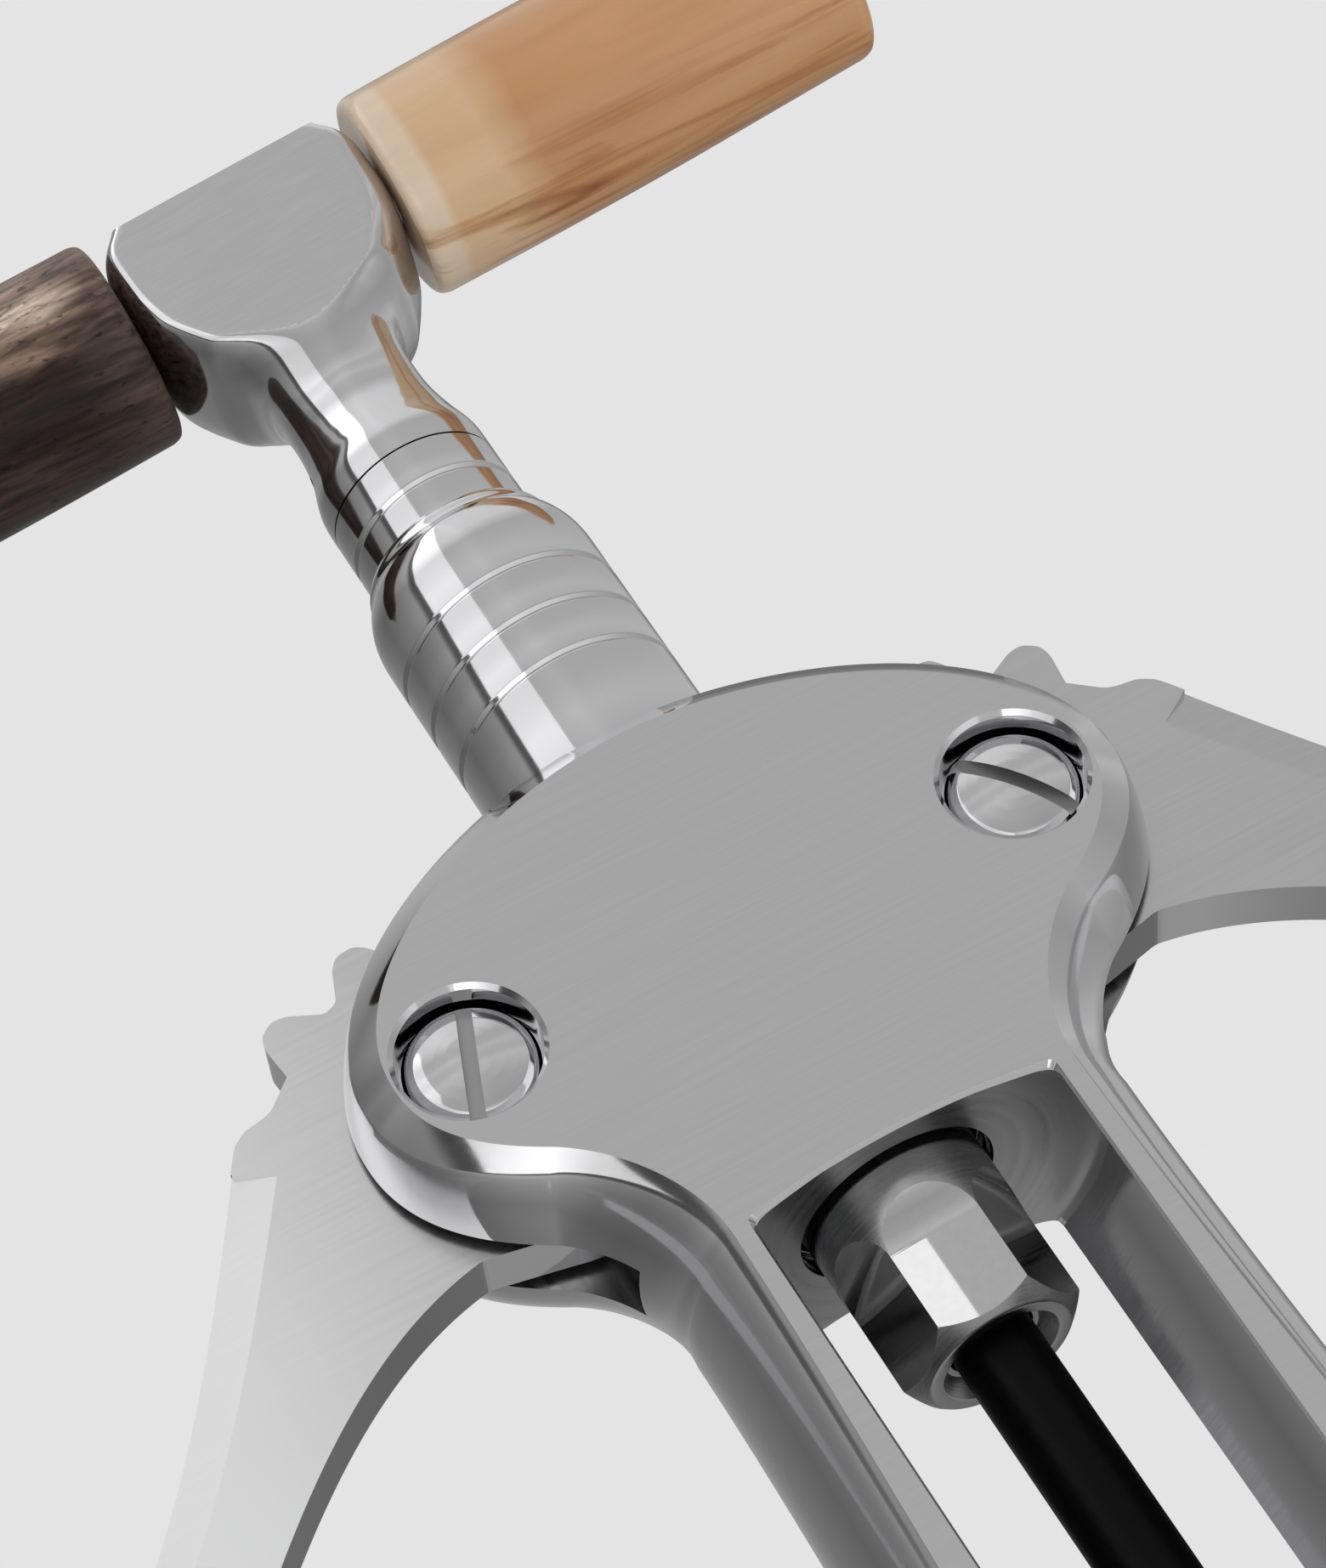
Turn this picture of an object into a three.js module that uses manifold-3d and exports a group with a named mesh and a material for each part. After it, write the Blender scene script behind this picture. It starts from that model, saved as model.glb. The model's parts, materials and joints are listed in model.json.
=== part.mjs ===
// Double-lever corkscrew with a horn T-handle. Millimetres, +Z up, front at -Y.
import * as THREE from 'three';
import Module from 'manifold-3d';
import { mergeVertices } from 'three/addons/utils/BufferGeometryUtils.js';

const wasm = await Module();
wasm.setup();

// ---- driving dimensions ----
const PIVOT_X = 21;            // lever pivot to centre line
const PIVOT_Z = 102;           // lever pivot above the foot of the bell
const BODY_HALF = 10.25;       // half thickness of the frame casting
const BORE_R = 15.2;           // turned bore that takes the bottle lip
const BELL_R = 19;             // outside radius of the bell at its foot
const BELL_TOP = 21;           // where the bell runs out into the legs
const SEAT_Z = 16;             // ledge the bottle mouth stops against
const SEAT_R = 12.2;
const CEILING_Z = 82.95;       // ceiling of the bore on the centre line hole
const DOME_R = 60;             // turned dome of that ceiling
const ROD_R = 6.75;            // stem, rack tips and worm ferrule
const ROD_GAP = 0.3;           // running clearance round the rod
const SLOT_HALF = 3.0;         // half width of the lever slots
const SLOT_R = 17.0;           // slot floor radius about a pivot
const LEVER_HALF = 2.1;        // half thickness of a lever
const TEETH_FULL = 13;         // teeth on the full gear circle
const PITCH_R = 15.2;          // gear pitch radius
const GEAR_TIP_R = 16.6;
const GEAR_ROOT_R = 13.75;
const COLLAR_R = 8.8;
const COLLAR_FOOT = PIVOT_Z + 16;
const COLLAR_TOP = PIVOT_Z + 43.5;
const HANDLE_Z = PIVOT_Z + 76; // axis of the T-handle
const HANDLE_YAW = -0.1;       // the handle is turned a little in this pose
const GRIP_R = 8.4;
const GRIP_START = 11.1;
const GRIP_END = 50;
const SHANK_R = 3.0;           // plain shank of the worm
const RACK_PITCH = 2 * Math.PI * PITCH_R / TEETH_FULL;
const RACK_BORE_R = 3.25;      // rack and thrust washers run on the spindle's journal
const RACK_LOW = PIVOT_Z - 2.3 * RACK_PITCH;
const RACK_HIGH = PIVOT_Z + 3.5 * RACK_PITCH;
const WASHER_GAP = 1.1;        // room for one thrust washer and its play
const STEM_FOOT = RACK_HIGH + WASHER_GAP;
const STEM_TOP = PIVOT_Z + 50;
const FERRULE_TOP = RACK_LOW - WASHER_GAP;
const FERRULE_FOOT = PIVOT_Z - 33;
const PIN_Z = STEM_TOP + 5;    // cross pin that holds the hub on the spindle
const PIN_HOLE_R = 1.3;
const HEAD_R = 4.75;           // slotted heads of the pivot screws and barrel nuts
const HEAD_FOOT = 6.6;         // underside and top of a head, from the mid plane
const HEAD_TOP = 9.75;
const COUNTERBORE_R = 5.05;
const COUNTERBORE_FLOOR = 6.4;
const SCREW_SLOT = { left: 69, right: -54 };   // slot angles from +X, as seen from the front
const NUT_SLOT = { left: 40, right: 75 };
const SIMPLIFY_TOL = 0.02;     // facets flatter than this are merged

// ---- materials ----
function finish(name, color, metalness, roughness) {
  return new THREE.MeshStandardMaterial({ name, color, metalness, roughness });
}
const steel = (name) => finish(name, 0xb4b6b8, 1, 0.3);
const coated = (name) => finish(name, 0x101012, 0.1, 0.4);
const bronze = (name) => finish(name, 0x9c7a45, 1, 0.35);
const horn = (name, color) => finish(name, color, 0, 0.35);

// ---- solid helpers ----
function toSolid(geometry) {
  const g = geometry.clone();
  for (const key of ['normal', 'uv']) {
    g.deleteAttribute(key);
  }
  const m = mergeVertices(g, 1e-5);
  const vertProperties = new Float32Array(m.attributes.position.array);
  const triVerts = new Uint32Array(m.index.array);
  return new wasm.Manifold(new wasm.Mesh({ numProp: 3, vertProperties, triVerts }));
}

function toGeometry(solid) {
  const mesh = solid.simplify(SIMPLIFY_TOL).getMesh();
  const g = new THREE.BufferGeometry();
  g.setAttribute('position', new THREE.BufferAttribute(new Float32Array(mesh.vertProperties), 3));
  g.setIndex(new THREE.BufferAttribute(new Uint32Array(mesh.triVerts), 1));
  const flat = g.toNonIndexed();
  flat.computeVertexNormals();
  return flat;
}

// profile: [radius, z] pairs, lowest first on the axis or closed on itself; turned about Z
function turned(profile, segments = 28) {
  const points = profile.map(([r, z]) => new THREE.Vector2(r, z));
  const g = new THREE.LatheGeometry(points, segments);
  g.rotateX(Math.PI / 2);
  return toSolid(g);
}

function ring(rIn, rOut, z0, z1, segments = 20) {
  return turned([[rIn, z0], [rOut, z0], [rOut, z1], [rIn, z1], [rIn, z0]], segments);
}

function rod(r, z0, z1, segments = 24) {
  return turned([[0, z0], [r, z0], [r, z1], [0, z1]], segments);
}

// turn a solid built along Z so that its axis points along +Y
function alongY(solid) {
  return solid.rotate([-90, 0, 0]);
}

function alongX(solid) {
  return solid.rotate([0, 90, 0]);
}

// flat plate: outline in x and z, between y0 and y1
function plate(points, y0, y1, bevel = 0) {
  const shape = new THREE.Shape(points.map(([x, z]) => new THREE.Vector2(x, z)));
  const depth = y1 - y0 - 2 * bevel;
  const options = { depth, bevelEnabled: bevel > 0, bevelThickness: bevel, bevelSize: bevel };
  options.bevelOffset = -bevel;
  options.bevelSegments = 1;
  const g = new THREE.ExtrudeGeometry(shape, options);
  g.translate(0, 0, bevel);
  g.rotateX(Math.PI / 2);
  g.translate(0, y1, 0);
  return toSolid(g);
}

function box(x0, x1, y0, y1, z0, z1) {
  const g = new THREE.BoxGeometry(x1 - x0, y1 - y0, z1 - z0);
  g.translate((x0 + x1) / 2, (y0 + y1) / 2, (z0 + z1) / 2);
  return toSolid(g);
}

// rings of points (all the same count) skinned into one closed body
function skinned(sections) {
  const n = sections[0].length;
  const position = [];
  const index = [];
  for (const section of sections) {
    for (const [x, y, z] of section) {
      position.push(x, y, z);
    }
  }
  for (let k = 0; k + 1 < sections.length; k += 1) {
    for (let i = 0; i < n; i += 1) {
      const a = k * n + i;
      const b = k * n + (i + 1) % n;
      index.push(a, b, b + n, a, b + n, a + n);
    }
  }
  return { position, index, n };
}

function closedSkin(sections, flatten) {
  const { position, index, n } = skinned(sections);
  const cap = (k, flip) => {
    const ringPoints = sections[k].map((p) => new THREE.Vector2(...flatten(p)));
    const swap = flip === THREE.ShapeUtils.area(ringPoints) > 0;
    for (const [a, b, c] of THREE.ShapeUtils.triangulateShape(ringPoints, [])) {
      const base = k * n;
      index.push(base + a, base + (swap ? c : b), base + (swap ? b : c));
    }
  };
  cap(0, true);
  cap(sections.length - 1, false);
  const g = new THREE.BufferGeometry();
  g.setAttribute('position', new THREE.Float32BufferAttribute(position, 3));
  g.setIndex(index);
  const solid = toSolid(g);
  if (solid.volume() > 0) {
    return solid;
  }
  for (let i = 0; i < index.length; i += 3) {
    [index[i + 1], index[i + 2]] = [index[i + 2], index[i + 1]];
  }
  g.setIndex(index);
  return toSolid(g);
}

// ---- assembly groups ----
const part = new THREE.Group();
part.name = 'lever_corkscrew';
function group(name, parent = part) {
  const g = new THREE.Group();
  g.name = name;
  parent.add(g);
  return g;
}
function addPiece(parent, name, geometry, material) {
  const mesh = new THREE.Mesh(geometry, material);
  mesh.name = name;
  parent.add(mesh);
  return mesh;
}
const body = group('body_group');
const leverGroup = { left: group('left_lever_group'), right: group('right_lever_group') };
const rackGroup = group('rack_group');
const turning = group('turning_group', rackGroup);
turning.rotation.z = HANDLE_YAW;

// ---- frame casting ----
function bezier(p0, p1, p2, p3, count) {
  const curve = new THREE.CubicBezierCurve(
    new THREE.Vector2(...p0), new THREE.Vector2(...p1), new THREE.Vector2(...p2), new THREE.Vector2(...p3));
  return curve.getPoints(count);
}

// right half of the outline seen from the front, at the outer edge of the bevel
function frameHalfOutline() {
  const crown = bezier([0, 19.2], [13, 19.2], [28.7, 11], [28.7, 0.2], 12);
  const ear = bezier([28.7, 0.2], [28.7, -5.5], [24.6, -8.7], [20.6, -11], 7);
  const neck = bezier([20.6, -11], [17.2, -13], [13.95, -17.5], [13.95, -21.9], 7);
  const leg = bezier([13.95, -21.9], [14, -38], [15.6, -60], [16.4, -96], 4);
  const out = [];
  const push = (list, insetA, insetB, bulgeA, bulgeB, first) => {
    list.forEach((p, i) => {
      if (i === 0 && !first) {
        return;
      }
      const t = i / (list.length - 1);
      const inset = insetA + (insetB - insetA) * t;
      const bulge = bulgeA + (bulgeB - bulgeA) * t;
      out.push({ x: p.x, z: p.y, inset, bulge });
    });
  };
  push(crown, 2.1, 2.1, 1.0, 1.1, true);
  push(ear, 2.1, 1.8, 1.1, 1.7, false);
  push(neck, 1.8, 1.1, 1.7, 3.2, false);
  push(leg, 1.1, 1.2, 3.2, 2.4, false);
  return out;
}

function frameSkin() {
  const half = frameHalfOutline();
  const last = half.length - 1;
  half.forEach((p, i) => {
    const a = half[Math.max(0, i - 1)];
    const b = half[Math.min(last, i + 1)];
    let tx = b.x - a.x;
    let tz = b.z - a.z;
    if (i === 0) {
      tz = 0;
    }
    if (i === last) {
      tx = 0;
    }
    const len = Math.hypot(tx, tz);
    p.nx = -tz / len;
    p.nz = tx / len;
  });
  const layers = [[-1, null], [-0.8, 0], [-0.63, 0.45], [-0.38, 0.82], [-0.12, 0.98]];
  const all = [...layers, ...layers.slice().reverse().map(([y, b]) => [-y, b])];
  const sections = all.map(([fy, b]) => {
    const y = fy * BODY_HALF;
    const place = (p, sign) => {
      const off = b === null ? -p.inset : b * p.bulge;
      return [sign * (p.x + p.nx * off), y, PIVOT_Z + p.z + p.nz * off];
    };
    const rightSide = half.map((p) => place(p, 1));
    const leftSide = half.slice(1).reverse().map((p) => place(p, -1));
    return [...rightSide, ...leftSide];
  });
  return closedSkin(sections, (p) => [p[0], p[2]]);
}

function boreCutter() {
  const profile = [[0, -1], [BORE_R + 0.8, -1], [BORE_R + 0.8, 0], [BORE_R, 0.8], [BORE_R, SEAT_Z]];
  profile.push([SEAT_R, SEAT_Z], [SEAT_R, SEAT_Z + 2.5], [BORE_R, SEAT_Z + 5]);
  const edge = CEILING_Z - BORE_R * BORE_R / (2 * DOME_R);
  profile.push([BORE_R, edge - 0.9], [BORE_R - 0.3, edge - 0.25], [BORE_R - 1.0, edge + 0.12]);
  for (const r of [11.5, 9.5, 7.5, 4, 0]) {
    profile.push([r, CEILING_Z - r * r / (2 * DOME_R)]);
  }
  return turned(profile, 40);
}

function bellRing() {
  const profile = [[0, 0], [BELL_R - 0.8, 0], [BELL_R, 0.9], [BELL_R, 9], [BELL_R - 0.3, 13]];
  profile.push([BELL_R - 0.9, 17], [BELL_R - 1.5, 20], [BELL_R - 2.2, BELL_TOP], [0, BELL_TOP]);
  return turned(profile, 40);
}

// slot that lets one lever swing: a disc about the pivot, open to the outside
function leverSlot(sign) {
  const points = [];
  for (let i = 0; i <= 20; i += 1) {
    const a = Math.PI / 2 + Math.PI * i / 20;
    points.push([sign * (PIVOT_X + SLOT_R * Math.cos(a)), PIVOT_Z + SLOT_R * Math.sin(a)]);
  }
  points.push([sign * 45, PIVOT_Z - SLOT_R], [sign * 45, PIVOT_Z + SLOT_R]);
  return plate(sign > 0 ? points : points.reverse(), -SLOT_HALF, SLOT_HALF);
}

function screwBores(sign) {
  const through = alongY(rod(3.3, -12, 12, 20));
  const rim = COUNTERBORE_R + 0.35;
  const profile = [[0, COUNTERBORE_FLOOR], [COUNTERBORE_R, COUNTERBORE_FLOOR], [COUNTERBORE_R, 9.85]];
  profile.push([rim, BODY_HALF - 0.02], [rim, 12], [0, 12]);
  const counterbore = turned(profile, 24);
  const back = counterbore.rotate([-90, 0, 0]);
  const front = counterbore.rotate([90, 0, 0]);
  return through.add(front).add(back).translate([sign * PIVOT_X, 0, PIVOT_Z]);
}

function frameCasting() {
  let solid = frameSkin().add(bellRing());
  solid = solid.subtract(boreCutter());
  const rodR = ROD_R + ROD_GAP;
  const headBore = turned([[0, CEILING_Z - 6], [rodR, CEILING_Z - 6], [rodR, PIVOT_Z + 11.5],
    [8.1, PIVOT_Z + 11.5], [8.1, PIVOT_Z + 15.8], [COLLAR_R + 0.12, PIVOT_Z + 15.8],
    [COLLAR_R + 0.12, PIVOT_Z + 30], [0, PIVOT_Z + 30]], 28);
  solid = solid.subtract(headBore);
  for (const sign of [-1, 1]) {
    solid = solid.subtract(leverSlot(sign)).subtract(screwBores(sign));
  }
  return solid;
}
addPiece(body, 'frame', toGeometry(frameCasting()), steel('frame_steel'));

// ---- collar: fixed guide bush screwed into the crown of the frame ----
function collarBush() {
  const r = ROD_R + ROD_GAP;
  const profile = [[r, PIVOT_Z + 11.8], [7.9, PIVOT_Z + 11.8], [7.9, COLLAR_FOOT], [COLLAR_R, COLLAR_FOOT]];
  for (const z of [26.3, 30.6, 34.9]) {
    const g = PIVOT_Z + z;
    profile.push([COLLAR_R, g - 0.3], [COLLAR_R - 0.3, g], [COLLAR_R, g + 0.3]);
  }
  profile.push([COLLAR_R, COLLAR_TOP - 4.6], [COLLAR_R - 0.2, COLLAR_TOP - 3.2]);
  profile.push([COLLAR_R - 0.7, COLLAR_TOP - 1.9]);
  profile.push([COLLAR_R - 1.25, COLLAR_TOP - 1.1], [COLLAR_R - 1.3, COLLAR_TOP - 0.5]);
  profile.push([r + 0.15, COLLAR_TOP], [r, COLLAR_TOP - 0.2], [r, PIVOT_Z + 11.8]);
  return turned(profile, 24);
}
addPiece(body, 'collar_bush', toGeometry(collarBush()), steel('collar_steel'));

// ---- levers ----
function leverOutline() {
  const step = 2 * Math.PI / TEETH_FULL;
  const points = [];
  const polar = (r, a) => points.push([r * Math.cos(a), r * Math.sin(a)]);
  // teeth run from just above the arm, over the top, to the lower inner side
  for (let k = 0; k < 7; k += 1) {
    const a = Math.PI - (4.5 - k) * step;
    polar(GEAR_ROOT_R, a - 0.2);
    polar(GEAR_TIP_R - 0.65, a - 0.092);
    polar(GEAR_TIP_R, a - 0.04);
    polar(GEAR_TIP_R, a + 0.04);
    polar(GEAR_TIP_R - 0.65, a + 0.092);
    polar(GEAR_ROOT_R, a + 0.2);
  }
  // back of the head, underneath the pivot
  for (let i = 1; i <= 6; i += 1) {
    const a = Math.PI - (-1.5) * step + 0.2 + i * 0.1;
    polar(GEAR_ROOT_R + (11.3 - GEAR_ROOT_R) * i / 6, a);
  }
  // inner edge of the arm, out to the tip
  const inner = bezier([5.1, -10.05], [13.5, -11.4], [21, -17.4], [28.5, -24.8], 8);
  const innerFar = bezier([28.5, -24.8], [40, -36.2], [52, -49.5], [63.2, -60.8], 5);
  for (const p of [...inner, ...innerFar.slice(1)]) {
    points.push([p.x, p.y]);
  }
  // rounded paddle end
  const tip = { x: 67.7, z: -57.5, r: 5.6 };
  for (let i = 0; i <= 8; i += 1) {
    const a = -2.5 + i * (2.95 / 8);
    points.push([tip.x + tip.r * Math.cos(a), tip.z + tip.r * Math.sin(a)]);
  }
  // outer edge of the arm back to the shoulder by the teeth
  const outerFar = bezier([71.6, -53.4], [60, -42.6], [46, -30.6], [34.2, -19.2], 5);
  const outer = bezier([34.2, -19.2], [27.2, -12], [20.3, -1.2], [16.1, 5.5], 7);
  for (const p of [...outerFar, ...outer.slice(1)]) {
    points.push([p.x, p.y]);
  }
  points.push([15.4, 6.5], [14.3, 7.2], [12.9, 7.4], [12.0, 7.7]);
  return points;
}

function leverSolid(sign) {
  const outline = leverOutline().map(([x, z]) => [sign * x, z]);
  const ordered = sign > 0 ? outline : outline.reverse();
  const bore = alongY(rod(4.35, -4, 4, 20));
  return plate(ordered, -LEVER_HALF, LEVER_HALF, 0.3).subtract(bore);
}

const SIDES = [['left', -1], ['right', 1]];
for (const [side, sign] of SIDES) {
  const g = leverGroup[side];
  g.position.set(sign * PIVOT_X, 0, PIVOT_Z);
  addPiece(g, `lever_${side}`, toGeometry(leverSolid(sign)), steel(`lever_${side}_steel`));
  const bush = alongY(ring(3.2, 4.2, -2.05, 2.05, 20));
  addPiece(g, `lever_bush_${side}`, toGeometry(bush), bronze(`bush_${side}_bronze`));
}

// ---- pivot screws, their barrel nuts and the thrust washers ----
function slottedHead(z0, zTop, r) {
  const head = turned([[0, z0], [r, z0], [r, zTop - 1.1], [r - 1.3, zTop - 0.35], [0, zTop]], 24);
  return head.subtract(box(-7, 7, -0.55, 0.55, zTop - 1.7, zTop + 2));
}

function pivotScrew(slotAngle) {
  const head = slottedHead(HEAD_FOOT, HEAD_TOP, HEAD_R).rotate([0, 0, slotAngle]);
  const shank = rod(3.0, -5.6, HEAD_FOOT, 20).add(rod(1.9, -8.2, -5.6, 16));
  return head.add(shank).rotate([90, 0, 0]);
}

function barrelNut(slotAngle) {
  const head = slottedHead(HEAD_FOOT, HEAD_TOP, HEAD_R).rotate([0, 0, slotAngle]);
  const barrel = rod(3.0, 5.9, HEAD_FOOT, 20);
  const socket = rod(2.1, 4, 8.55, 16);
  return head.add(barrel).subtract(socket).rotate([-90, 0, 0]);
}

for (const [side, sign] of SIDES) {
  const screw = pivotScrew(SCREW_SLOT[side]);
  const nut = barrelNut(NUT_SLOT[side]);
  const at = (solid) => toGeometry(solid.translate([sign * PIVOT_X, 0, PIVOT_Z]));
  addPiece(body, `pivot_screw_${side}`, at(screw), steel(`pivot_screw_${side}_steel`));
  addPiece(body, `pivot_nut_${side}`, at(nut), steel(`pivot_nut_${side}_steel`));
  const front = alongY(ring(3.25, 7.2, -2.8, -2.3, 20));
  const back = alongY(ring(3.25, 7.2, 2.3, 2.8, 20));
  addPiece(body, `washer_front_${side}`, at(front), bronze(`washer_front_${side}_bronze`));
  addPiece(body, `washer_back_${side}`, at(back), bronze(`washer_back_${side}_bronze`));
}

// ---- sliding rack sleeve: annular teeth between stem and ferrule ----
function rackSleeve() {
  const root = 4.15;
  const profile = [[RACK_BORE_R, RACK_LOW], [root, RACK_LOW]];
  for (let k = -2; k <= 3; k += 1) {
    const z = PIVOT_Z + k * RACK_PITCH;
    profile.push([root, z - 2.2], [ROD_R, z - 1.0]);
    profile.push([ROD_R, z + 1.0], [root, z + 2.2]);
  }
  profile.push([root, RACK_HIGH], [RACK_BORE_R, RACK_HIGH], [RACK_BORE_R, RACK_LOW]);
  return turned(profile, 18);
}
addPiece(rackGroup, 'rack_sleeve', toGeometry(rackSleeve()), steel('rack_steel'));

// ---- everything that turns with the handle ----
function spindle() {
  const profile = [[0, RACK_LOW - 3.5], [SHANK_R, RACK_LOW - 3.5], [SHANK_R, STEM_FOOT]];
  profile.push([ROD_R - 0.4, STEM_FOOT], [ROD_R, STEM_FOOT + 0.4]);
  for (const z of [42.2, 46.6]) {
    const g = PIVOT_Z + z;
    profile.push([ROD_R, g - 0.45], [ROD_R - 0.3, g - 0.15], [ROD_R - 0.3, g + 0.15], [ROD_R, g + 0.45]);
  }
  profile.push([ROD_R, STEM_TOP - 0.3], [ROD_R - 0.3, STEM_TOP], [3.4, STEM_TOP]);
  profile.push([3.4, STEM_TOP + 9], [0, STEM_TOP + 9]);
  return turned(profile, 28).subtract(alongX(rod(PIN_HOLE_R, -8, 8, 12)).translate([0, 0, PIN_Z]));
}
addPiece(turning, 'spindle', toGeometry(spindle()), steel('spindle_steel'));

const upperWasher = ring(RACK_BORE_R, 6.3, RACK_HIGH + 0.25, RACK_HIGH + 0.85, 20);
addPiece(turning, 'thrust_washer_upper', toGeometry(upperWasher), bronze('thrust_upper_bronze'));
const lowerWasher = ring(RACK_BORE_R, 6.3, RACK_LOW - 0.85, RACK_LOW - 0.25, 20);
addPiece(turning, 'thrust_washer_lower', toGeometry(lowerWasher), bronze('thrust_lower_bronze'));

const FLAT_APOTHEM = ROD_R * Math.cos(Math.PI / 6);
const FLAT_TURN = 30.6;        // leaves one spanner flat facing the front
const RUN_OUT_Z = PIVOT_Z - 25.7;
const RUN_OUT_R = 6.6;         // wheel that mills the flats
function wormFerrule() {
  const profile = [[0, FERRULE_FOOT + 1.4], [3.6, FERRULE_FOOT + 1.4], [4.4, FERRULE_FOOT]];
  profile.push([5.35, FERRULE_FOOT], [ROD_R, FERRULE_FOOT + 1.3], [ROD_R, FERRULE_TOP], [0, FERRULE_TOP]);
  let solid = turned(profile, 36);
  for (let i = 0; i < 6; i += 1) {
    // the wheel leaves each spanner flat with a curved run-out at its top
    const wheel = alongY(rod(RUN_OUT_R, -9, 9, 48)).translate([FLAT_APOTHEM + RUN_OUT_R, 0, RUN_OUT_Z]);
    const sweep = box(FLAT_APOTHEM, FLAT_APOTHEM + 8, -9, 9, FERRULE_FOOT - 4, RUN_OUT_Z);
    solid = solid.subtract(wheel.add(sweep).rotate([0, 0, i * 60 + FLAT_TURN]));
  }
  const upperSocket = rod(SHANK_R + 0.2, RACK_LOW - 3.9, FERRULE_TOP + 1, 20);
  const lowerSocket = rod(SHANK_R + 0.2, FERRULE_FOOT - 1, FERRULE_FOOT + 8.4, 20);
  return solid.subtract(upperSocket).subtract(lowerSocket);
}
addPiece(turning, 'worm_ferrule', toGeometry(wormFerrule()), steel('ferrule_steel'));

// worm: plain shank that runs out into an open helix with a sharpened tip
const WORM_TOP = FERRULE_FOOT + 8.1;
const HELIX_TOP = 48;
const WORM_TIP = 2;
const HELIX_R = 2.75;
const WIRE_R = 1.6;
const HELIX_PITCH = 9;
function wormSolid() {
  const sections = [];
  const sides = 9;
  const slices = 54;
  const circle = (cx, cy, r, z) => {
    const list = [];
    for (let i = 0; i < sides; i += 1) {
      const a = 2 * Math.PI * i / sides;
      list.push([cx + r * Math.cos(a), cy + r * Math.sin(a), z]);
    }
    return list;
  };
  sections.push(circle(0, 0, SHANK_R, WORM_TOP));
  for (let k = 0; k <= slices; k += 1) {
    const t = k / slices;
    const z = HELIX_TOP + (WORM_TIP - HELIX_TOP) * t;
    const ease = Math.min(1, t / 0.12);
    const smooth = ease * ease * (3 - 2 * ease);
    const taper = t > 0.9 ? 1 - 0.82 * (t - 0.9) / 0.1 : 1;
    const r = (SHANK_R + (WIRE_R - SHANK_R) * smooth) * taper;
    const e = HELIX_R * smooth;
    const a = 2 * Math.PI * (HELIX_TOP - z) / HELIX_PITCH + 0.6;
    sections.push(circle(e * Math.cos(a), e * Math.sin(a), r, z));
  }
  return closedSkin(sections, (p) => [p[0], p[1]]);
}
addPiece(turning, 'worm', toGeometry(wormSolid()), coated('worm_coating'));

// forged hub: waisted neck rising into a block with flat front and back faces
function hubSection(z, a, b, power, count) {
  const list = [];
  for (let i = 0; i < count; i += 1) {
    const t = 2 * Math.PI * i / count;
    const c = Math.cos(t);
    const s = Math.sin(t);
    const x = Math.sign(c) * a * Math.abs(c) ** (2 / power);
    const y = Math.sign(s) * b * Math.abs(s) ** (2 / power);
    list.push([x, y, z]);
  }
  return list;
}
const HUB_FACE = 7.1;          // planed front and back of the hub, from its axis
const CROWN_R = 13;            // shallow arched top of the hub
const CROWN_Z = -6.45;
const HUB_GAP = 0.1;           // seam between hub and stem
function hubSolid() {
  // each row: height about the handle axis, half width, half depth, squareness
  const rows = [[-25.9, 6.75, 6.75, 2], [-23.6, 6.7, 6.7, 2], [-21.6, 6.2, 6.2, 2]];
  rows.push([-19.8, 5.75, 5.75, 2.1], [-18, 5.5, 5.6, 2.1], [-16, 5.4, 5.7, 2.2]);
  rows.push([-14.2, 5.45, 6.2, 2.3], [-12.6, 5.7, 6.9, 2.4], [-11.2, 6.3, 7.6, 2.8]);
  rows.push([-10.2, 7.1, 7.9, 3.5], [-9.2, 8.1, 8.0, 4.4], [-8, 8.9, 8.1, 4.6]);
  rows.push([-6.6, 9.7, 8.2, 4.8], [-5, 10.5, 8.3, 4.6], [-2.6, 10.95, 8.4, 4.6]);
  rows.push([0, 11.0, 8.4, 4.8], [2, 10.9, 8.4, 5], [3.2, 10.5, 8.4, 5]);
  rows.push([4.2, 9.8, 8.3, 4.8], [5.2, 9.1, 8.2, 4.6], [6.6, 8.4, 8.0, 4.4]);
  const sections = rows.map(([z, a, b, power]) => hubSection(z, a, b, power, 28));
  let solid = closedSkin(sections, (p) => [p[0], p[1]]).translate([0, 0, HANDLE_Z]);
  const crown = alongX(rod(CROWN_R, -20, 20, 64)).translate([0, 0, HANDLE_Z + CROWN_Z]);
  const below = box(-20, 20, -20, 20, HANDLE_Z - 30, HANDLE_Z);
  solid = solid.intersect(crown.add(below));
  solid = solid.intersect(box(-20, 20, -HUB_FACE, HUB_FACE, HANDLE_Z - 30, HANDLE_Z + 20));
  const socket = rod(3.6, HANDLE_Z - 27, STEM_TOP + 9.4, 20);
  const cross = alongX(rod(2.7, -12, 12, 20)).translate([0, 0, HANDLE_Z]);
  const pinHole = alongX(rod(PIN_HOLE_R, -8, 8, 12)).translate([0, 0, PIN_Z]);
  solid = solid.subtract(socket).subtract(cross);
  const trim = box(-20, 20, -20, 20, HANDLE_Z - 30, STEM_TOP + HUB_GAP);
  return solid.subtract(trim).subtract(pinHole);
}
addPiece(turning, 'handle_hub', toGeometry(hubSolid()), steel('hub_steel'));

const hubPin = alongX(rod(1.05, -5.0, 5.0, 12)).translate([0, 0, PIN_Z]);
addPiece(turning, 'hub_pin', toGeometry(hubPin), steel('hub_pin_steel'));

const tieRod = alongX(rod(2.4, -34, 34, 20)).translate([0, 0, HANDLE_Z]);
addPiece(turning, 'handle_rod', toGeometry(tieRod), steel('handle_rod_steel'));

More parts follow.
